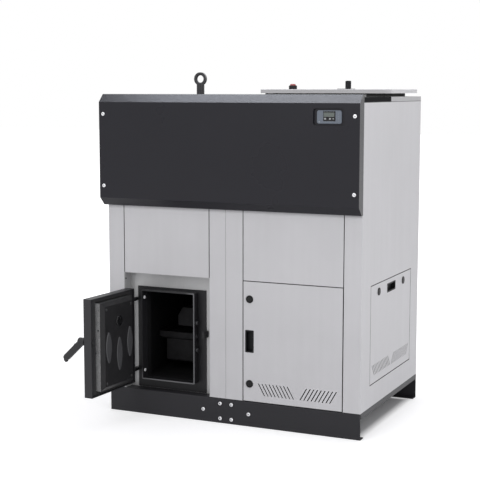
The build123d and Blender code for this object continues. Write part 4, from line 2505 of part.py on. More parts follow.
side_face = facing_right(right_x)
side_door_top = side_door_bottom + side_door_height
side_door_back = side_door_front + side_door_length
side_lock_z = side_door_top - side_lock_drop
side_locks = [
    (side_door_front + side_lock_inset + place * side_lock_spread, side_lock_z) for place in (0, 1)
]
side_pull_centre = (
    side_door_front + side_pull_start + side_pull_length / 2,
    side_door_top - side_pull_drop - side_pull_height / 2,
)
side_vent_z = side_door_bottom + side_vent_foot
side_vent_room = side_door_length / 2 - side_vent_margin - side_vent_lean - side_vent_middle_gap / 2
side_vent_pitch = side_vent_room / (side_vent_count - 1)
side_left_foot = side_door_front + side_vent_margin + side_vent_lean
side_right_foot = side_door_back - side_vent_margin - side_vent_lean - vent_slot - (
    (side_vent_count - 1) * side_vent_pitch
)
hook_x = right_x - side_door_depth - seat_clearance - side_hook_sheet
with BuildPart() as side_door:
    with BuildSketch(side_face):
        rectangle_between(side_door_front, side_door_bottom, side_door_back, side_door_top)
    extrude(amount=-side_door_depth)
    fillet(side_door.faces().sort_by(Axis.X)[-1].edges(), door_sheet_rounding)
    with BuildSketch(facing_right(right_x - sheet)):
        rectangle_between(
            side_door_front + sheet,
            side_door_bottom + sheet,
            side_door_back - sheet,
            side_door_top - sheet,
        )
    extrude(amount=-side_door_depth, mode=Mode.SUBTRACT)
    with BuildSketch(side_face):
        vent_slots(
            side_left_foot,
            side_vent_z,
            side_vent_pitch,
            side_vent_count,
            vent_slot,
            side_vent_rise,
            -side_vent_lean,
        )
        vent_slots(
            side_right_foot,
            side_vent_z,
            side_vent_pitch,
            side_vent_count,
            vent_slot,
            side_vent_rise,
            side_vent_lean,
        )
        with Locations(*side_locks):
            Circle(lock_neck_radius + bolt_clearance)
        with Locations(side_pull_centre):
            Rectangle(
                side_pull_length - 2 * pull_flange + 2 * block_clearance,
                side_pull_height - 2 * pull_flange + 2 * block_clearance,
            )
    extrude(amount=-sheet, mode=Mode.SUBTRACT)
    for hook_front in (
        side_door_front + side_hook_inset,
        side_door_back - side_hook_inset - side_hook_width,
    ):
        with BuildSketch(facing_right(hook_x)):
            rectangle_between(
                hook_front,
                side_door_bottom - side_hook_drop,
                hook_front + side_hook_width,
                side_door_bottom + side_hook_rise,
            )
        extrude(amount=side_hook_sheet)
        with BuildSketch(facing_right(hook_x)):
            rectangle_between(
                hook_front,
                side_door_bottom,
                hook_front + side_hook_width,
                side_door_bottom + sheet,
            )
        extrude(amount=side_hook_sheet + seat_clearance + sheet)
side_door.part.label = "side_door"
export_step(side_door.part, "parts/side_door.step")

side_door_pull = recessed_pull(side_face, side_pull_centre, side_pull_length, side_pull_height)
side_door_pull.label = "side_door_pull"
export_step(side_door_pull, "parts/side_door_pull.step")

side_lock_housings = lock_housing(side_face, side_locks)
side_lock_housings.label = "side_lock_housings"
export_step(side_lock_housings, "parts/side_lock_housings.step")

for lock_name, centre, turn in (
    ("side_lock_front", side_locks[0], 0),
    ("side_lock_rear", side_locks[1], 180),
):
    side_lock = lock_core(side_face, centre, turn)
    side_lock.label = lock_name
    export_step(side_lock, f"parts/{lock_name}.step")
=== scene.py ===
"""Looks for the pellet boiler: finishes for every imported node, the small trim that the
solids leave out, and the photograph's studio. Metres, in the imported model's frame."""

import json
from math import cos, radians, sin

import bmesh
import bpy
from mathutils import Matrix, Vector


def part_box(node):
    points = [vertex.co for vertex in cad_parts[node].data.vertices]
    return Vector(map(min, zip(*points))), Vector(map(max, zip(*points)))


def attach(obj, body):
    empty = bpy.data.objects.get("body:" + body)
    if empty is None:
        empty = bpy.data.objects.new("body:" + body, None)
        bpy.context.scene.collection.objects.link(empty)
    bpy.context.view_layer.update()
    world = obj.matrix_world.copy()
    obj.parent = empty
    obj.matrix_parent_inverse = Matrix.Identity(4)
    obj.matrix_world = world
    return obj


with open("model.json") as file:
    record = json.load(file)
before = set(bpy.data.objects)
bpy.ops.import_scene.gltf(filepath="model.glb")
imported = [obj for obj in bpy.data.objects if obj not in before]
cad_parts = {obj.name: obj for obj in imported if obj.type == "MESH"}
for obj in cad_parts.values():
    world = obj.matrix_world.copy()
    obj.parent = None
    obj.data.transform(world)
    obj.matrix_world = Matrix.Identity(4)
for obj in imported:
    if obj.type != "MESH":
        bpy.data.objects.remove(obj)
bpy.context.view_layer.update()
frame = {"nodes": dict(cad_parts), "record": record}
nodes = frame["nodes"]
record = frame["record"]

# The photograph's camera, solved from the casing's edges
PICTURE_SIDE = 480
FOCAL_PIXELS = 1207.0
SENSOR_MM = 36.0
CAMERA_PLACE = (1.9809, -4.1991, 1.3080)
CAMERA_AZIMUTH = 24.86
CAMERA_DIP = 7.11


# Shader node helpers


def feed(tree, value, socket):
    """Links a socket to another socket, or gives it a plain value."""
    if isinstance(value, bpy.types.NodeSocket):
        tree.links.new(value, socket)
    else:
        socket.default_value = value


def put(tree, kind, inputs=None, **settings):
    """Adds a shader node with its settings and its inputs by name or number."""
    made = tree.nodes.new("ShaderNode" + kind)
    for key, value in settings.items():
        setattr(made, key, value)
    for key, value in (inputs or {}).items():
        feed(tree, value, made.inputs[key])
    return made


def open_group(name, inputs, outputs):
    """Starts a shader node group with named sockets and returns it with its two ends."""
    group = bpy.data.node_groups.new(name, "ShaderNodeTree")
    for socket_name, kind in inputs:
        group.interface.new_socket(socket_name, in_out="INPUT", socket_type=kind)
    for socket_name, kind in outputs:
        group.interface.new_socket(socket_name, in_out="OUTPUT", socket_type=kind)
    entry = group.nodes.new("NodeGroupInput")
    leave = group.nodes.new("NodeGroupOutput")
    return group, entry.outputs, leave.inputs


COLOUR = "NodeSocketColor"
NUMBER = "NodeSocketFloat"


def ranged(tree, value, low, high, start=0.0, end=1.0):
    """Maps a value from start..end to low..high."""
    made = put(tree, "MapRange", {0: value, 1: start, 2: end, 3: low, 4: high})
    return made.outputs[0]


def times(tree, first, second):
    """Product of two values."""
    return put(tree, "Math", {0: first, 1: second}, operation="MULTIPLY").outputs[0]


def plus(tree, first, second):
    """Sum of two values."""
    return put(tree, "Math", {0: first, 1: second}).outputs[0]


def minus(tree, first, second):
    """Difference of two values."""
    return put(tree, "Math", {0: first, 1: second}, operation="SUBTRACT").outputs[0]


def highest(tree, first, second):
    """The greater of two values."""
    return put(tree, "Math", {0: first, 1: second}, operation="MAXIMUM").outputs[0]


def unsigned(tree, value):
    """A value without its sign."""
    return put(tree, "Math", {0: value}, operation="ABSOLUTE").outputs[0]


def rising(tree, value, start, blur):
    """A mask that goes from 0 to 1 as the value passes start."""
    return ranged(tree, value, 0.0, 1.0, start, start + blur)


def falling(tree, value, start, blur):
    """A mask that goes from 1 to 0 as the value passes start."""
    return ranged(tree, value, 1.0, 0.0, start, start + blur)


def mixed_colour(tree, share, first, second):
    """Colour that goes from the first to the second as share goes from 0 to 1."""
    made = put(tree, "Mix", {0: share, 6: first, 7: second}, data_type="RGBA")
    return made.outputs[2]


def toned(tree, colour, swing):
    """A colour lightened or darkened by centred noise, which swings half its amount each way."""
    value = put(tree, "Math", {0: swing, 1: 2.0, 2: 1.0}, operation="MULTIPLY_ADD")
    return put(tree, "HueSaturation", {"Color": colour, "Value": value.outputs[0]}).outputs[0]


def place_axes(tree):
    """The three Object coordinates of a surface point."""
    place = put(tree, "TexCoord").outputs["Object"]
    return put(tree, "SeparateXYZ", {0: place}).outputs


def build_coat_group():
    """Sprayed coat: broad clouds of tone, fine upright drift, speckle and orange peel."""
    group, given, out = open_group(
        "sprayed_coat",
        [("Colour", COLOUR), ("Clouds", NUMBER), ("Drift", NUMBER), ("Speckle", NUMBER),
         ("Grain", NUMBER)],
        [("Colour", COLOUR), ("Tone", NUMBER), ("Peel", NUMBER)],
    )
    place = put(group, "TexCoord").outputs["Object"]
    clouds = put(group, "TexNoise",
                 {"Vector": place, "Scale": 4.2, "Detail": 3.0, "Roughness": 0.55})
    stretched = put(group, "Mapping", {"Vector": place, "Scale": (34.0, 34.0, 1.6)})
    drift = put(group, "TexNoise", {"Vector": stretched.outputs[0], "Scale": 1.0, "Detail": 2.0})
    speckle = put(group, "TexNoise", {"Vector": place, "Scale": given["Grain"], "Detail": 1.0})
    total = None
    for noise, amount in ((clouds, "Clouds"), (drift, "Drift"), (speckle, "Speckle")):
        scaled = times(group, minus(group, noise.outputs["Fac"], 0.5), given[amount])
        total = scaled if total is None else plus(group, total, scaled)
    feed(group, toned(group, given["Colour"], total), out["Colour"])
    feed(group, clouds.outputs["Fac"], out["Tone"])
    feed(group, speckle.outputs["Fac"], out["Peel"])
    return group


def build_brush_group():
    """Rolled or brushed metal: long fine lines along one axis over broad patches."""
    group, given, out = open_group(
        "rolled_metal",
        [("Colour", COLOUR), ("Lines", NUMBER), ("Patches", NUMBER),
         ("Stretch X", NUMBER), ("Stretch Y", NUMBER), ("Stretch Z", NUMBER)],
        [("Colour", COLOUR), ("Tone", NUMBER), ("Height", NUMBER)],
    )
    place = put(group, "TexCoord").outputs["Object"]
    axes = put(group, "CombineXYZ",
               {0: given["Stretch X"], 1: given["Stretch Y"], 2: given["Stretch Z"]})
    along = put(group, "VectorMath", {0: place, 1: axes.outputs[0]}, operation="MULTIPLY")
    lines = put(group, "TexNoise", {"Vector": along.outputs[0], "Scale": 1.0, "Detail": 2.0})
    patches = put(group, "TexNoise",
                  {"Vector": place, "Scale": 14.0, "Detail": 4.0, "Roughness": 0.6})
    first = times(group, minus(group, lines.outputs["Fac"], 0.5), given["Lines"])
    second = times(group, minus(group, patches.outputs["Fac"], 0.5), given["Patches"])
    total = plus(group, first, second)
    feed(group, toned(group, given["Colour"], total), out["Colour"])
    feed(group, patches.outputs["Fac"], out["Tone"])
    feed(group, lines.outputs["Fac"], out["Height"])
    return group


def build_dust_group():
    """Soot, ash or dust that lies in patches and thickest on what faces upwards."""
    group, given, out = open_group(
        "settled_dust",
        [("Colour", COLOUR), ("Dust", COLOUR), ("Amount", NUMBER), ("Size", NUMBER),
         ("Upward", NUMBER)],
        [("Colour", COLOUR), ("Mask", NUMBER)],
    )
    place = put(group, "TexCoord").outputs["Object"]
    facing = put(group, "SeparateXYZ", {0: put(group, "NewGeometry").outputs["Normal"]}).outputs
    upward = highest(group, facing["Z"], 0.0)
    noise = put(group, "TexNoise", {"Vector": place, "Scale": given["Size"], "Detail": 5.0})
    patches = rising(group, noise.outputs["Fac"], 0.35, blur=0.35)
    settled = times(group, upward, given["Upward"])
    patched = times(group, patches, given["Amount"])
    total = put(group, "Math", {0: settled, 1: patched}, use_clamp=True)
    shown = mixed_colour(group, total.outputs[0], given["Colour"], given["Dust"])
    feed(group, shown, out["Colour"])
    feed(group, total.outputs[0], out["Mask"])
    return group


coat_group = build_coat_group()
brush_group = build_brush_group()
dust_group = build_dust_group()


def use_group(tree, group, **inputs):
    """Places a shader node group in a material, its inputs by name with _ for a space."""
    made = tree.nodes.new("ShaderNodeGroup")
    made.node_tree = group
    for key, value in inputs.items():
        feed(tree, value, made.inputs[key.replace("_", " ")])
    return made.outputs


def new_finish(name, **shader_values):
    """A material with one Principled shader, its plain values by socket name."""
    material = bpy.data.materials.new(name)
    material.use_nodes = True
    tree = material.node_tree
    tree.nodes.clear()
    output = put(tree, "OutputMaterial")
    shader = put(tree, "BsdfPrincipled")
    tree.links.new(shader.outputs[0], output.inputs["Surface"])
    for key, value in shader_values.items():
        shader.inputs[key.replace("_", " ")].default_value = value
    return material, tree, shader


def rgb(red, green, blue):
    """A colour with full alpha from three linear values."""
    return (red, green, blue, 1.0)


def finish_surface(tree, shader, shown, roughness, dust, zone, dusty_roughness):
    """Lays dust and a zone over a surface's colour and feeds colour and roughness to the shader.

    zone is a pair: a function that draws a mask in the tree, and the colour shown there."""
    if dust:
        settled = use_group(tree, dust_group, Colour=shown, **dust)
        shown = settled["Colour"]
        roughness = put(tree, "Mix",
                        {0: settled["Mask"], 2: roughness, 3: dusty_roughness}).outputs[0]
    if zone:
        mask, zone_colour = zone
        shown = mixed_colour(tree, mask(tree), shown, zone_colour)
    feed(tree, shown, shader.inputs["Base Color"])
    feed(tree, roughness, shader.inputs["Roughness"])


def bumped(tree, shader, height, strength, distance):
    """Gives the shader a bump from a height value."""
    bump = put(tree, "Bump", {"Height": height, "Strength": strength, "Distance": distance})
    tree.links.new(bump.outputs[0], shader.inputs["Normal"])


def coated(name, colour, rough, clouds, grain, peel, drift=0.02, speckle=0.04, dust=None,
           zone=None, **shader_values):
    """Powder coat, enamel or moulded plastic: clouds of tone, speckle and orange peel."""
    material, tree, shader = new_finish(name, **shader_values)
    coat = use_group(tree, coat_group, Colour=colour, Clouds=clouds, Drift=drift, Speckle=speckle,
                     Grain=grain)
    roughness = ranged(tree, coat["Tone"], *rough)
    finish_surface(tree, shader, coat["Colour"], roughness, dust, zone, dusty_roughness=0.9)
    bumped(tree, shader, coat["Peel"], strength=peel, distance=0.0004)
    return material


def rolled(name, colour, rough, patches, lines=0.06, stretch=(700.0, 700.0, 10.0), dust=None,
           zone=None, **shader_values):
    """Bare or plated metal sheet with its rolling lines."""
    material, tree, shader = new_finish(name, **shader_values)
    metal = use_group(tree, brush_group, Colour=colour, Lines=lines, Patches=patches,
                      Stretch_X=stretch[0], Stretch_Y=stretch[1], Stretch_Z=stretch[2])
    roughness = ranged(tree, metal["Tone"], *rough)
    finish_surface(tree, shader, metal["Colour"], roughness, dust, zone, dusty_roughness=0.92)
    bumped(tree, shader, metal["Height"], strength=0.1, distance=0.0003)
    return material


# Masks by place: painted shade in the casing's gaps, joints and bolt sockets, painted highlights on
# the door frame's collar rim and the door plate's beads, and parts of a node with their own tone


# Planes of the casing, and how deep its sheet edges and flanges reach
CASING_FRONT = -0.020
CASING_SIDE = 0.540
BASE_JOINT = 0.1018
COVER_JOINT = 1.2596
COVER_FOOT = 1.2622
REAR_FLANGE = 0.688
RIGHT_HALF = 0.01
FLANGE_DEPTH = 0.018
CORNER_ROOM = 0.006
# A point lies in a plane when it is within this skin
SKIN = 0.0003
SKIN_BLUR = 0.0002
JOINT_BLUR = 0.0004
# A face lies along a sheet when its normal has this much of the sheet's own
ALONG_SHEET = 0.8
# The doors' outlines of painted shade: how far outside the edge, how wide, how dark and how deep
SIDE_HOOK_DROP = 0.014
LINE_SHIFT = 0.0012
LINE_HALF_WIDTH = 0.0018
LINE_SHADE = 0.65
LINE_DEPTH = 0.001


def door_outline_shade(tree, axes, door, axis_across, hook_drop):
    """A fine line of painted shade on both sides of a door's edge, across one axis and up Z."""
    low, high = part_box(door)
    spans = {"X": (low.x, high.x), "Y": (low.y, high.y), "Z": (low.z + hook_drop, high.z)}
    beyond = []
    for axis in (axis_across, "Z"):
        start, end = spans[axis]
        distance = unsigned(tree, minus(tree, axes[axis], (start + end) / 2))
        beyond.append(plus(tree, distance, (start - end) / 2))
    edge = highest(tree, *beyond)
    away = unsigned(tree, plus(tree, edge, -LINE_SHIFT))
    return ranged(tree, away, LINE_SHADE, 0.0, LINE_HALF_WIDTH, LINE_HALF_WIDTH + JOINT_BLUR)


def casing_shade_mask(tree):
    """Painted shade on the casing: its sheet edges and flanges in the gaps and vents, lines at
    the covers' and the base's joints, and lines round the doors. Depths are measured from the
    casing's front and sides. Faces that lie along a sheet keep its paint, and so do the corners'
    bends and the rear flanges."""
    axes = place_axes(tree)
    facing = put(tree, "SeparateXYZ", {0: put(tree, "TexCoord").outputs["Normal"]}).outputs
    front = minus(tree, axes["Y"], CASING_FRONT)
    side = minus(tree, CASING_SIDE, unsigned(tree, axes["X"]))
    edges = []
    for depth, other_depth, across in ((front, side, "Y"), (side, front, "X")):
        edge = times(tree, rising(tree, depth, SKIN, SKIN_BLUR),
                     falling(tree, depth, FLANGE_DEPTH, blur=0.002))
        edge = times(tree, edge, rising(tree, other_depth, CORNER_ROOM, blur=0.001))
        upright = falling(tree, unsigned(tree, facing[across]), ALONG_SHEET, blur=0.15)
        edges.append(times(tree, edge, upright))
    gaps = times(tree, highest(tree, *edges), falling(tree, axes["Y"], REAR_FLANGE, blur=0.002))
    under_covers = falling(tree, axes["Z"], COVER_FOOT, JOINT_BLUR)
    cover_joint = times(tree, rising(tree, axes["Z"], COVER_JOINT, JOINT_BLUR), under_covers)
    joints = highest(tree, cover_joint, falling(tree, axes["Z"], BASE_JOINT, JOINT_BLUR))
    right_half = rising(tree, axes["X"], RIGHT_HALF, blur=0.01)
    for door, depth, axis, hook_drop in (("service_door", front, "X", 0.0),
                                         ("side_door", side, "Y", SIDE_HOOK_DROP)):
        near = times(tree, right_half, falling(tree, depth, LINE_DEPTH, blur=0.001))
        line = times(tree, door_outline_shade(tree, axes, door, axis, hook_drop), near)
        joints = highest(tree, joints, line)
    return highest(tree, times(tree, gaps, under_covers), joints)


COLLAR_FRONT = -0.0119
RIM_RIGHT = -0.20
RIM_FOOT = 0.15
RIM_FAINT = 0.12


def collar_rim_highlight_mask(tree):
    """The door frame's collar front with a painted highlight, brightest at its right and its foot.
    """
    axes = place_axes(tree)
    front = falling(tree, axes["Y"], COLLAR_FRONT, blur=0.0003)
    right = ranged(tree, axes["X"], RIM_FAINT, 1.0, RIM_RIGHT, RIM_RIGHT + 0.03)
    foot = ranged(tree, axes["Z"], 1.0, RIM_FAINT, RIM_FOOT, RIM_FOOT + 0.04)
    return times(tree, front, highest(tree, right, foot))


# The open door stands at 93.5 degrees, and its beads rise along the door's thickness
DOOR_REST = radians(3.5)
BEAD_FOOT = -0.3789
BEAD_CREST = BEAD_FOOT + 0.0031
CREST_SHARE = 0.4


def bead_highlight_mask(tree):
    """The door plate's three beads with a painted highlight, lighter than the plate and most of all
    at their rims.
    """
    axes = place_axes(tree)
    across = times(tree, axes["X"], cos(DOOR_REST))
    along = times(tree, axes["Y"], -sin(DOOR_REST))
    height = plus(tree, across, along)
    topping = ranged(tree, height, 1.0, CREST_SHARE, BEAD_CREST, BEAD_CREST + 0.0005)
    return times(tree, rising(tree, height, BEAD_FOOT, blur=0.001), topping)


SOCKET_FLOOR = CASING_FRONT - 0.002


def bolt_sockets(tree):
    """The floors of the base bolts' sockets, which lie in shade."""
    axes = place_axes(tree)
    distance = unsigned(tree, minus(tree, axes["Y"], SOCKET_FLOOR))
    return falling(tree, distance, SKIN, SKIN_BLUR)


RAIL_OUTSIDE = 0.5375
RAIL_LIP = 0.0755


def side_rail_band(tree):
    """The bare upper lip of the base frame under the right side panel."""
    axes = place_axes(tree)
    outer = rising(tree, axes["X"], RAIL_OUTSIDE, blur=0.001)
    return times(tree, outer, rising(tree, axes["Z"], RAIL_LIP, blur=0.001))


RIGHT_HAND_KNOBS = -0.30


def right_hand_screws(tree):
    """The three blackened knobs on the right of the door frame."""
    return rising(tree, place_axes(tree)["X"], RIGHT_HAND_KNOBS, blur=0.01)


# Finishes, by the record's slots and for nodes with a finish of their own


SOOT = rgb(0.004, 0.004, 0.0045)
# The next colour is the right-hand knobs' own black, and is also painted shade in the base bolts'
# sockets
BLACK_AND_SOCKET_SHADE = rgb(0.035, 0.035, 0.038)
# Painted highlight on the door frame's collar rim
RIM_HIGHLIGHT = rgb(0.13, 0.13, 0.137)
# Painted highlight on the door plate's beads
BEAD_HIGHLIGHT = rgb(0.085, 0.085, 0.09)
DULL_ZINC = rgb(0.05, 0.05, 0.053)
GAP_SHADE = rgb(0.012, 0.012, 0.013)

finishes = {
    # The casing's paint carries painted shade in its gaps, joints and round the doors
    "casing_paint": coated("casing_paint", rgb(0.575, 0.57, 0.59), rough=(0.46, 0.58), clouds=0.07,
                           drift=0.03, speckle=0.12, grain=1100.0, peel=0.12,
                           zone=(casing_shade_mask, GAP_SHADE)),
    "header_paint": coated("header_paint", rgb(0.0152, 0.0148, 0.0195), rough=(0.25, 0.31),
                           clouds=0.06, drift=0.0, speckle=0.12, grain=1500.0, peel=0.25,
                           Specular_IOR_Level=0.2),
    "base_paint": coated("base_paint", rgb(0.024, 0.0235, 0.027), rough=(0.42, 0.52), clouds=0.06,
                         drift=0.0, speckle=0.1, grain=1500.0, peel=0.25, Specular_IOR_Level=0.22,
                         zone=(side_rail_band, DULL_ZINC)),
    "zinc_screws": rolled("zinc_screws", rgb(0.72, 0.72, 0.74), rough=(0.3, 0.42), lines=0.03,
                          patches=0.05, Metallic=0.7),
    "niche_sheet": rolled("niche_sheet", rgb(0.42, 0.42, 0.425), rough=(0.38, 0.5), patches=0.12,
                          Metallic=0.5),
    "boiler_steel": coated("boiler_steel", rgb(0.008, 0.0078, 0.0088), rough=(0.6, 0.8),
                           clouds=0.25, grain=500.0, peel=0.3, Specular_IOR_Level=0.16,
                           dust={"Dust": SOOT, "Amount": 0.6, "Size": 18.0, "Upward": 0.2}),
    "frame_paint": coated("frame_paint", rgb(0.012, 0.0118, 0.0135), rough=(0.42, 0.55),
                          clouds=0.12, grain=800.0, peel=0.2, Specular_IOR_Level=0.3,
                          zone=(collar_rim_highlight_mask, RIM_HIGHLIGHT)),
    "eye_steel": coated("eye_steel", rgb(0.03, 0.0295, 0.033), rough=(0.4, 0.55), clouds=0.15,
                        grain=700.0, peel=0.2, Specular_IOR_Level=0.4),
    "door_paint": coated("door_paint", rgb(0.018, 0.0175, 0.02), rough=(0.38, 0.48), clouds=0.1,
                         grain=900.0, peel=0.2, Specular_IOR_Level=0.35),
    "door_board": coated("door_board", rgb(0.3, 0.3, 0.305), rough=(0.85, 0.95), clouds=0.2,
                         speckle=1.0, grain=420.0, peel=0.6,
                         dust={"Dust": SOOT, "Amount": 0.25, "Size": 60.0, "Upward": 0.95}),
    "door_plate": rolled("door_plate", rgb(0.016, 0.0157, 0.017), rough=(0.34, 0.5), patches=0.25,
                         Specular_IOR_Level=0.22, zone=(bead_highlight_mask, BEAD_HIGHLIGHT),
                         dust={"Dust": SOOT, "Amount": 0.3, "Size": 20.0, "Upward": 0.0}),
    "rope_seal": coated("rope_seal", rgb(0.02, 0.0195, 0.021), rough=(0.85, 0.95), clouds=0.2,
                        speckle=0.5, grain=350.0, peel=0.8),
    "sight_glass": coated("sight_glass", rgb(0.01, 0.01, 0.011), rough=(0.08, 0.2), clouds=0.1,
                          grain=300.0, peel=0.0),
    "handle_plastic": coated("handle_plastic", rgb(0.012, 0.012, 0.0135), rough=(0.4, 0.52),
                             clouds=0.08, grain=1800.0, peel=0.15, Specular_IOR_Level=0.4),
    "burner_steel": rolled("burner_steel", rgb(0.019, 0.0185, 0.02), rough=(0.45, 0.65),
                           patches=0.3, Metallic=0.1, Specular_IOR_Level=0.25,
                           dust={"Dust": SOOT, "Amount": 0.5, "Size": 24.0, "Upward": 0.1}),
    "fan_paint": coated("fan_paint", rgb(0.03, 0.03, 0.033), rough=(0.4, 0.5), clouds=0.08,
                        grain=1200.0, peel=0.15),
    "impeller_metal": rolled("impeller_metal", rgb(0.6, 0.6, 0.62), rough=(0.3, 0.4), patches=0.1,
                             Metallic=0.9),
    "feed_steel": rolled("feed_steel", rgb(0.4, 0.4, 0.41), rough=(0.32, 0.45), patches=0.15,
                         stretch=(10.0, 700.0, 700.0), Metallic=0.85),
    "motor_paint": coated("motor_paint", rgb(0.05, 0.055, 0.065), rough=(0.35, 0.45), clouds=0.06,
                          grain=900.0, peel=0.2),
    "hopper_sheet": rolled("hopper_sheet", rgb(0.5, 0.51, 0.52), rough=(0.32, 0.5), patches=0.2,
                           Metallic=0.75, dust={"Dust": rgb(0.4, 0.3, 0.18), "Amount": 0.12,
                                                "Size": 12.0, "Upward": 0.25}),
    "seal_rubber": coated("seal_rubber", rgb(0.012, 0.012, 0.012), rough=(0.7, 0.85), clouds=0.1,
                          speckle=0.3, grain=600.0, peel=0.5),
    "controller_grey": coated("controller_grey", rgb(0.12, 0.14, 0.175), rough=(0.4, 0.5),
                              clouds=0.04, grain=2200.0, peel=0.12),
    "controller_black": coated("controller_black", rgb(0.006, 0.006, 0.007), rough=(0.2, 0.28),
                               clouds=0.04, grain=600.0, peel=0.0, Specular_IOR_Level=0.3),
    "key_plastic": coated("key_plastic", rgb(0.34, 0.35, 0.36), rough=(0.4, 0.5), clouds=0.04,
                          grain=2200.0, peel=0.1),
    "pull_plastic": coated("pull_plastic", rgb(0.007, 0.007, 0.008), rough=(0.5, 0.6), clouds=0.06,
                           grain=1800.0, peel=0.15, Specular_IOR_Level=0.2),
    "lock_metal": coated("lock_metal", rgb(0.007, 0.007, 0.0075), rough=(0.5, 0.62), clouds=0.08,
                         grain=900.0, peel=0.2, Specular_IOR_Level=0.2),
    "lock_core_metal": coated("lock_core_metal", rgb(0.012, 0.012, 0.013), rough=(0.42, 0.55),
                              clouds=0.08, grain=900.0, peel=0.1, Specular_IOR_Level=0.25),
    "knob_plastic": coated("knob_plastic", rgb(0.02, 0.02, 0.0225), rough=(0.5, 0.6), clouds=0.06,
                           grain=1800.0, peel=0.12, Specular_IOR_Level=0.15),
    "button_red": coated("button_red", rgb(0.3, 0.018, 0.016), rough=(0.3, 0.4), clouds=0.05,
                         grain=1500.0, peel=0.05),
}

frame_screws = coated("blackened_screws", rgb(0.85, 0.85, 0.87), rough=(0.3, 0.4), clouds=0.1,
                      grain=900.0, peel=0.1, Metallic=0.3, zone=(right_hand_screws, BLACK_AND_SOCKET_SHADE))
# Painted shade on the floors of the base bolts' sockets
base_screws = rolled("base_screws", rgb(0.72, 0.72, 0.74), rough=(0.3, 0.42), lines=0.03,
                     patches=0.05, Metallic=0.7, zone=(bolt_sockets, BLACK_AND_SOCKET_SHADE))
cover_black = coated("cover_black", rgb(0.01, 0.01, 0.011), rough=(0.8, 0.9), clouds=0.08,
                     grain=1500.0, peel=0.2, Specular_IOR_Level=0.04)
# The casing's silver darkened for the rear top cover: painted shade
shaded_cover_paint = coated("shaded_cover_paint", rgb(0.42, 0.416, 0.43), rough=(0.5, 0.6), clouds=0.05,
                     drift=0.03, speckle=0.06, grain=1400.0, peel=0.1)
plate_screws = coated("plate_screws", rgb(0.035, 0.035, 0.037), rough=(0.35, 0.5), clouds=0.15,
                      grain=900.0, peel=0.1, Metallic=0.3)

for entry in record["subparts"]:
    mesh = nodes[entry["node"]].data
    mesh.materials.clear()
    mesh.materials.append(finishes[entry["material_slot"]])
nodes["door_frame_screws"].data.materials[0] = frame_screws
nodes["fire_door_screws"].data.materials[0] = plate_screws
nodes["base_bolts"].data.materials[0] = base_screws
nodes["service_door_hinges"].data.materials[0] = finishes["lock_metal"]
nodes["hopper_front_top_cover"].data.materials[0] = cover_black
nodes["hopper_rear_top_cover"].data.materials[0] = shaded_cover_paint


# Mesh helpers: pieces are modelled at the origin facing up, then turned and put in place


FACE_FRONT = (radians(90.0), 0.0, 0.0)
FACE_REAR = (radians(-90.0), 0.0, 0.0)
FACE_RIGHT = (0.0, radians(90.0), 0.0)


def pick_faces(piece, chosen):
    """In edit mode, selects the faces for which chosen(face) holds, and no others."""
    bpy.context.tool_settings.mesh_select_mode = (False, False, True)
    mesh = bmesh.from_edit_mesh(piece.data)
    for face in mesh.faces:
        face.select_set(False)
    for face in mesh.faces:
        if chosen(face):
            face.select_set(True)
    bmesh.update_edit_mesh(piece.data)


def pick_edges(piece, chosen):
    """In edit mode, selects the edges for which chosen(edge) holds, and no others."""
    bpy.context.tool_settings.mesh_select_mode = (False, True, False)
    mesh = bmesh.from_edit_mesh(piece.data)
    for edge in mesh.edges:
        edge.select_set(False)
    for edge in mesh.edges:
        if chosen(edge):
            edge.select_set(True)
    bmesh.update_edit_mesh(piece.data)


def open_mesh(piece):
    """Goes into edit mode on one piece."""
    bpy.context.view_layer.objects.active = piece
    bpy.ops.object.mode_set(mode="EDIT")
    return piece


def close_mesh():
    """Leaves edit mode."""
    bpy.ops.object.mode_set(mode="OBJECT")


def set_down(piece, name, place, turn):
    """Names a finished piece and puts its place and turn in its mesh."""
    piece.name = piece.data.name = name
    piece.location = place
    piece.rotation_euler = turn
    bpy.ops.object.select_all(action="DESELECT")
    piece.select_set(True)
    bpy.context.view_layer.objects.active = piece
    bpy.ops.object.transform_apply(location=True, rotation=True, scale=True)
    return piece


def dressed(piece, body, slot, finish):
    """Gives a piece its own finish, or its slot's, and makes it ride on its body."""
    piece.data.materials.clear()
    piece.data.materials.append(finish or finishes[slot])
    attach(piece, body)
    return piece


def model_screw_head(radius, height):
    """Low domed screw head with a round socket. Its steps are shares of the radius and height."""
    shoulder, socket = 0.14, 0.42
    shoulder_rise, crown_rise, socket_depth = 0.3, 0.12, 0.7
    bpy.ops.object.select_all(action="DESELECT")
    bpy.ops.mesh.primitive_cylinder_add(vertices=24, radius=radius, depth=height,
                                        location=(0.0, 0.0, 0.0))
    head = open_mesh(bpy.context.object)
    pick_faces(head, lambda face: face.normal.z > 0.9)
    bpy.ops.mesh.inset(thickness=radius * shoulder)
    bpy.ops.transform.translate(value=(0.0, 0.0, height * shoulder_rise))
    bpy.ops.mesh.inset(thickness=radius * (1.0 - shoulder) - radius * socket)
    bpy.ops.transform.translate(value=(0.0, 0.0, height * crown_rise))
    sink = (0.0, 0.0, -height * socket_depth)
    bpy.ops.mesh.extrude_region_move(TRANSFORM_OT_translate={"value": sink})
    close_mesh()
    bpy.ops.object.shade_smooth_by_angle(angle=radians(40.0))
    return bpy.context.object


def joined(name, pieces):
    """Several pieces made one mesh with a name."""
    bpy.ops.object.select_all(action="DESELECT")
    for piece in pieces:
        piece.select_set(True)
    bpy.context.view_layer.objects.active = pieces[0]
    if len(pieces) > 1:
        bpy.ops.object.join()
        bpy.ops.object.transform_apply(location=True, rotation=True, scale=True)
    whole = bpy.context.object
    whole.name = whole.data.name = name
    return whole


def screw_row(name, places, radius, turn, body, finish=None):
    """A set of like screw heads as one piece."""
    heads = []
    for number, place in enumerate(places):
        head = model_screw_head(radius, SCREW_HEIGHT)
        heads.append(set_down(head, f"{name}_{number}", place, turn))
    return dressed(joined(name, heads), body, "zinc_screws", finish)


# Small screws that hold the sheets


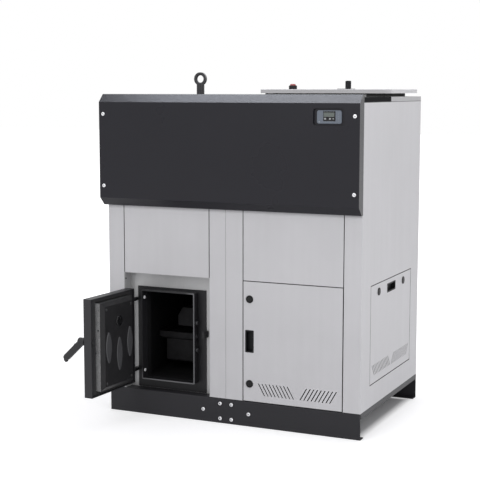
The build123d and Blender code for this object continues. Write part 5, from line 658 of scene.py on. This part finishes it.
SCREW_HEIGHT = 0.0014
REAR_ROWS = (0.13, 0.40, 0.67, 0.94, 1.225)
REAR_COLUMNS = (-0.516, -0.041, 0.007, 0.516)
REAR_SCREW_RADIUS = 0.0048
SMALL_SCREW_RADIUS = 0.0036
NICHE_SHEET = 0.0015
JAMB_SCREW_DEPTH = -0.0115
JAMB_SCREW_RISE = 0.5496
BOARD_SCREWS = [(-0.4195, -0.3080, 0.3915), (-0.4325, -0.3072, 0.3015)]
BOARD_TURN = (radians(90.0), 0.0, -DOOR_REST)

rear_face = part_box("rear_panels")[1].y
screw_row("rear_panel_screws",
          [(x, rear_face + SCREW_HEIGHT / 2, z) for x in REAR_COLUMNS for z in REAR_ROWS],
          REAR_SCREW_RADIUS, FACE_REAR, "boiler")

jamb_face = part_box("niche_surround")[0].x + NICHE_SHEET
screw_row("niche_jamb_screw",
          [(jamb_face + SCREW_HEIGHT / 2, JAMB_SCREW_DEPTH, JAMB_SCREW_RISE)],
          SMALL_SCREW_RADIUS, FACE_RIGHT, "boiler", plate_screws)

screw_row("door_board_screws", BOARD_SCREWS, SMALL_SCREW_RADIUS, BOARD_TURN, "fire_door",
          plate_screws)


# Controller and header: display glass, marks, lamps, icon and dark plates of painted shade for the
# slots of the header's screws


def model_plate(width, height, thickness, corner, rim=0.0, sunk=0.0):
    """Thin rounded plate facing up, with an optional rim round a sunk field."""
    bpy.ops.object.select_all(action="DESELECT")
    bpy.ops.mesh.primitive_cube_add(size=1.0, location=(0.0, 0.0, 0.0))
    plate = bpy.context.object
    plate.scale = (width, height, thickness)
    bpy.ops.object.transform_apply(location=False, rotation=False, scale=True)
    open_mesh(plate)
    pick_edges(plate, lambda edge: abs(edge.verts[0].co.z - edge.verts[1].co.z) > thickness / 2)
    bpy.ops.mesh.bevel(offset=corner, segments=4)
    if rim:
        pick_faces(plate, lambda face: face.normal.z > 0.9)
        bpy.ops.mesh.inset(thickness=rim)
        bpy.ops.mesh.extrude_region_move(TRANSFORM_OT_translate={"value": (0.0, 0.0, -sunk)})
    close_mesh()
    return plate


CELL_WAVES = 2600.0
ROW_WAVES = 900.0


def build_display_finish():
    """Unlit liquid crystal glass: grey green, with two faint rows of cells."""
    material, tree, shader = new_finish("display_glass", Roughness=0.22, Specular_IOR_Level=0.35)
    axes = place_axes(tree)
    across = put(tree, "Math", {0: times(tree, axes["X"], CELL_WAVES)}, operation="SINE")
    upright = put(tree, "Math", {0: times(tree, axes["Z"], ROW_WAVES)}, operation="SINE")
    cells = times(tree, rising(tree, across.outputs[0], -0.2, blur=0.6),
                  rising(tree, upright.outputs[0], -0.3, blur=0.6))
    shown = mixed_colour(tree, cells, rgb(0.12, 0.137, 0.127), rgb(0.17, 0.192, 0.18))
    feed(tree, shown, shader.inputs["Base Color"])
    return material


# How far the trim stands out of the face that carries it
DISPLAY_PROUD = 0.0002
PRINT_PROUD = 0.0001
LAMP_PROUD = 0.0004

window_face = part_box("controller_window")[0].y
face_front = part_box("controller_face")[0].y
display = model_plate(width=0.0414, height=0.0150, thickness=0.0006, corner=0.0008, rim=0.0007,
                      sunk=0.0003)
set_down(display, "display_glass", (0.4212, window_face - DISPLAY_PROUD, 1.2168), FACE_FRONT)
dressed(display, "boiler", "controller_black", build_display_finish())

pale_print = coated("pale_print", rgb(0.34, 0.36, 0.38), rough=(0.4, 0.5), clouds=0.05,
                    grain=2500.0, peel=0.05)
MARK_COUNT = 7
FIRST_MARK = 0.4035
MARK_STEP = 0.0058
MARK_ROW = 1.2272
marks = []
for number in range(MARK_COUNT):
    mark = model_plate(width=0.0022, height=0.0012, thickness=0.0003, corner=0.0003)
    place = (FIRST_MARK + MARK_STEP * number, window_face - PRINT_PROUD, MARK_ROW)
    marks.append(set_down(mark, f"mark_{number}", place, FACE_FRONT))
dressed(joined("window_marks", marks), "boiler", "key_plastic", pale_print)


LENS_SHARES = (0.22, 0.3, 0.35)


def model_lamp_dome(radius, height):
    """Small domed lamp lens: each step narrows it by a share of its radius, and rises less."""
    bpy.ops.object.select_all(action="DESELECT")
    bpy.ops.mesh.primitive_cylinder_add(vertices=20, radius=radius, depth=height,
                                        location=(0.0, 0.0, 0.0))
    dome = open_mesh(bpy.context.object)
    for share in LENS_SHARES:
        pick_faces(dome, lambda face: face.normal.z > 0.9)
        bpy.ops.mesh.inset(thickness=radius * share)
        bpy.ops.transform.translate(value=(0.0, 0.0, height * (0.5 - share)))
    close_mesh()
    bpy.ops.object.shade_smooth_by_angle(angle=radians(60.0))
    return bpy.context.object


lens = coated("lamp_lens", rgb(0.30, 0.33, 0.37), rough=(0.2, 0.3), clouds=0.05, grain=2000.0,
              peel=0.0, Coat_Weight=0.5)
LAMP_COLUMN = 0.4575
LAMP_ROWS = (1.2195, 1.2110, 1.2025, 1.1940)
lamps = []
for number, z in enumerate(LAMP_ROWS):
    dome = model_lamp_dome(radius=0.0013, height=0.0012)
    place = (LAMP_COLUMN, face_front - LAMP_PROUD, z)
    lamps.append(set_down(dome, f"lamp_{number}", place, FACE_FRONT))
dressed(joined("indicator_lamps", lamps), "boiler", "controller_grey", lens)

mode_mark = model_plate(width=0.0042, height=0.0042, thickness=0.0003, corner=0.0008, rim=0.0008,
                        sunk=0.0002)
set_down(mode_mark, "mode_mark", (0.3825, face_front - PRINT_PROUD, 1.1905), FACE_FRONT)
dressed(mode_mark, "boiler", "controller_grey", pale_print)

HEADER_HEAD_RADIUS = 0.0075
SLOT_TURN = (radians(90.0), 0.35, 0.0)
screws_low, screws_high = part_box("header_screws")
slots = []
for x in (screws_low.x + HEADER_HEAD_RADIUS, screws_high.x - HEADER_HEAD_RADIUS):
    for z in (screws_low.z + HEADER_HEAD_RADIUS, screws_high.z - HEADER_HEAD_RADIUS):
        # Each slot is a thin dark plate on the head: painted shade standing for the groove
        groove = model_plate(width=0.0085, height=0.0017, thickness=0.0003, corner=0.0004)
        slots.append(set_down(groove, "slot", (x, screws_low.y - PRINT_PROUD, z), SLOT_TURN))
dressed(joined("header_screw_slot_shade", slots), "boiler", "zinc_screws", plate_screws)


# Threads of the water sockets at the rear


def model_inner_thread(radius, pitch, turns, height):
    """Helical ridge inside a bore, modelled along Z: a small triangle turned and lifted."""
    bpy.ops.object.select_all(action="DESELECT")
    bpy.ops.mesh.primitive_circle_add(vertices=3, radius=height, fill_type="NOTHING",
                                      location=(0.0, 0.0, 0.0), rotation=(radians(90.0), 0.0, 0.0))
    ridge = bpy.context.object
    ridge.location = (radius, 0.0, 0.0)
    bpy.ops.object.transform_apply(location=True, rotation=True, scale=True)
    screw = ridge.modifiers.new("thread", "SCREW")
    screw.axis = "Z"
    screw.screw_offset = pitch
    screw.iterations = turns
    screw.steps = screw.render_steps = 36
    bpy.ops.object.modifier_apply(modifier="thread")
    open_mesh(ridge)
    bpy.ops.mesh.select_all(action="SELECT")
    bpy.ops.mesh.remove_doubles(threshold=0.00001)
    bpy.ops.mesh.fill_holes(sides=3)
    bpy.ops.mesh.select_all(action="SELECT")
    bpy.ops.mesh.normals_make_consistent(inside=False)
    close_mesh()
    bpy.ops.object.shade_smooth_by_angle(angle=radians(35.0))
    return ridge


turned_steel = rolled("turned_steel", rgb(0.3, 0.3, 0.31), rough=(0.35, 0.5), patches=0.15,
                      Metallic=0.8)
SOCKET_MOUTH = 0.714
THREAD_START = 0.001
THREAD_PITCH = 0.0023
THREAD_HEIGHT = 0.0011
THREAD_TURNS = 8
THREAD_BITE = 0.35
for entry in record["mounts"]:
    if entry["kind"] == "threaded_hole":
        x, _, z = entry["pos_m"]
        bore = entry["dims"]["r_mm"] / 1000.0
        thread = model_inner_thread(bore - THREAD_HEIGHT * THREAD_BITE, THREAD_PITCH, THREAD_TURNS,
                                    THREAD_HEIGHT)
        set_down(thread, f"{entry['name']}_thread", (x, SOCKET_MOUTH - THREAD_START, z), FACE_FRONT)
        dressed(thread, "boiler", "boiler_steel", turned_steel)


# Studio: pale floor, soft lamps, white surroundings and the photograph's camera


FLOOR_SIDE = 60.0
FLOOR_LIFT = 0.5
FLOOR_LIFT_NEAR = 1.2
FLOOR_LIFT_FAR = 3.0
WORLD_LIGHT = 0.5
BOILER_MIDDLE = (0.0, 0.34, 0.6)
BOILER_HALF_WIDTH = 0.50
BOILER_HALF_DEPTH = 0.29


def surroundings():
    """World that is plain white to the camera and in reflections, and dimmer as a light."""
    world = bpy.data.worlds.new("studio")
    bpy.context.scene.world = world
    world.use_nodes = True
    tree = world.node_tree
    tree.nodes.clear()
    paths = put(tree, "LightPath").outputs
    seen = highest(tree, paths["Is Camera Ray"], paths["Is Glossy Ray"])
    seen = highest(tree, seen, paths["Is Transmission Ray"])
    strength = ranged(tree, seen, WORLD_LIGHT, 1.0)
    shade = put(tree, "Background", {"Color": rgb(1.0, 1.0, 1.0), "Strength": strength})
    output = put(tree, "OutputWorld")
    tree.links.new(shade.outputs[0], output.inputs["Surface"])


def floor_finish():
    """Matt white floor that keeps the object's shadow and is lifted to white for the camera, but
    not under the boiler, where it shows through gaps and vents."""
    material = bpy.data.materials.new("studio_floor")
    material.use_nodes = True
    tree = material.node_tree
    tree.nodes.clear()
    paths = put(tree, "LightPath").outputs
    matt = put(tree, "BsdfDiffuse", {"Color": rgb(0.7, 0.7, 0.72)})
    seen = highest(tree, paths["Is Camera Ray"], paths["Is Glossy Ray"])
    place = put(tree, "TexCoord").outputs["Object"]
    reach = put(tree, "VectorMath", {0: place}, operation="LENGTH").outputs["Value"]
    far = ranged(tree, reach, FLOOR_LIFT, 1.0, FLOOR_LIFT_NEAR, FLOOR_LIFT_FAR)
    axes = put(tree, "SeparateXYZ", {0: place}).outputs
    from_middle = unsigned(tree, plus(tree, axes["Y"], -BOILER_MIDDLE[1]))
    beside = rising(tree, unsigned(tree, axes["X"]), BOILER_HALF_WIDTH, blur=0.04)
    before = rising(tree, from_middle, BOILER_HALF_DEPTH, blur=0.03)
    lift = times(tree, times(tree, seen, far), highest(tree, beside, before))
    glow = put(tree, "Emission", {"Color": rgb(1.0, 1.0, 1.0), "Strength": lift})
    both = put(tree, "AddShader", {0: matt.outputs[0], 1: glow.outputs[0]})
    output = put(tree, "OutputMaterial")
    tree.links.new(both.outputs[0], output.inputs["Surface"])
    return material


def softbox(name, place, aim, width, height, power, colour=(1.0, 1.0, 1.0)):
    """Oblong soft lamp at a place, turned to face a point."""
    light = bpy.data.lights.new(name, "AREA")
    light.color = colour
    light.shape = "RECTANGLE"
    light.size = width
    light.size_y = height
    light.energy = power
    made = bpy.data.objects.new(name, light)
    bpy.context.scene.collection.objects.link(made)
    made.location = place
    made.rotation_euler = (Vector(aim) - Vector(place)).to_track_quat("-Z", "Y").to_euler()
    return made


surroundings()
bpy.ops.object.select_all(action="DESELECT")
bpy.ops.mesh.primitive_plane_add(size=FLOOR_SIDE, location=(0.0, 0.0, 0.0))
floor = bpy.context.object
floor.name = "studio_floor"
floor.data.materials.append(floor_finish())

LAMP_SIDE = 2.4
COOL_WHITE = (0.86, 0.9, 1.0)
softbox("softbox_above", (0.0, 0.2, 3.4), (0.0, 0.2, 0.0), 1.8, 1.8, power=20.0)
strip = softbox("strip_above", (-0.6, 0.1, 3.3), (-0.6, 0.1, 0.0), 2.0, 0.6, power=56.0,
                colour=COOL_WHITE)
strip.visible_diffuse = False
for name, place, power in (
    ("softbox_front_left", (-1.0, -3.7, 3.0), 58.0),
    ("softbox_front_right", (3.8, -1.8, 2.0), 55.0),
    ("softbox_behind", (0.5, 3.6, 2.4), 44.0),
):
    softbox(name, place, BOILER_MIDDLE, LAMP_SIDE, LAMP_SIDE, power)

camera = bpy.data.cameras.new("photograph_camera")
camera.sensor_width = SENSOR_MM
camera.lens = FOCAL_PIXELS / PICTURE_SIDE * SENSOR_MM
camera_object = bpy.data.objects.new("photograph_camera", camera)
bpy.context.scene.collection.objects.link(camera_object)
camera_object.location = CAMERA_PLACE
camera_object.rotation_euler = (radians(90.0 - CAMERA_DIP), 0.0, radians(CAMERA_AZIMUTH))
bpy.context.scene.camera = camera_object
bpy.context.scene.view_settings.view_transform = "Standard"
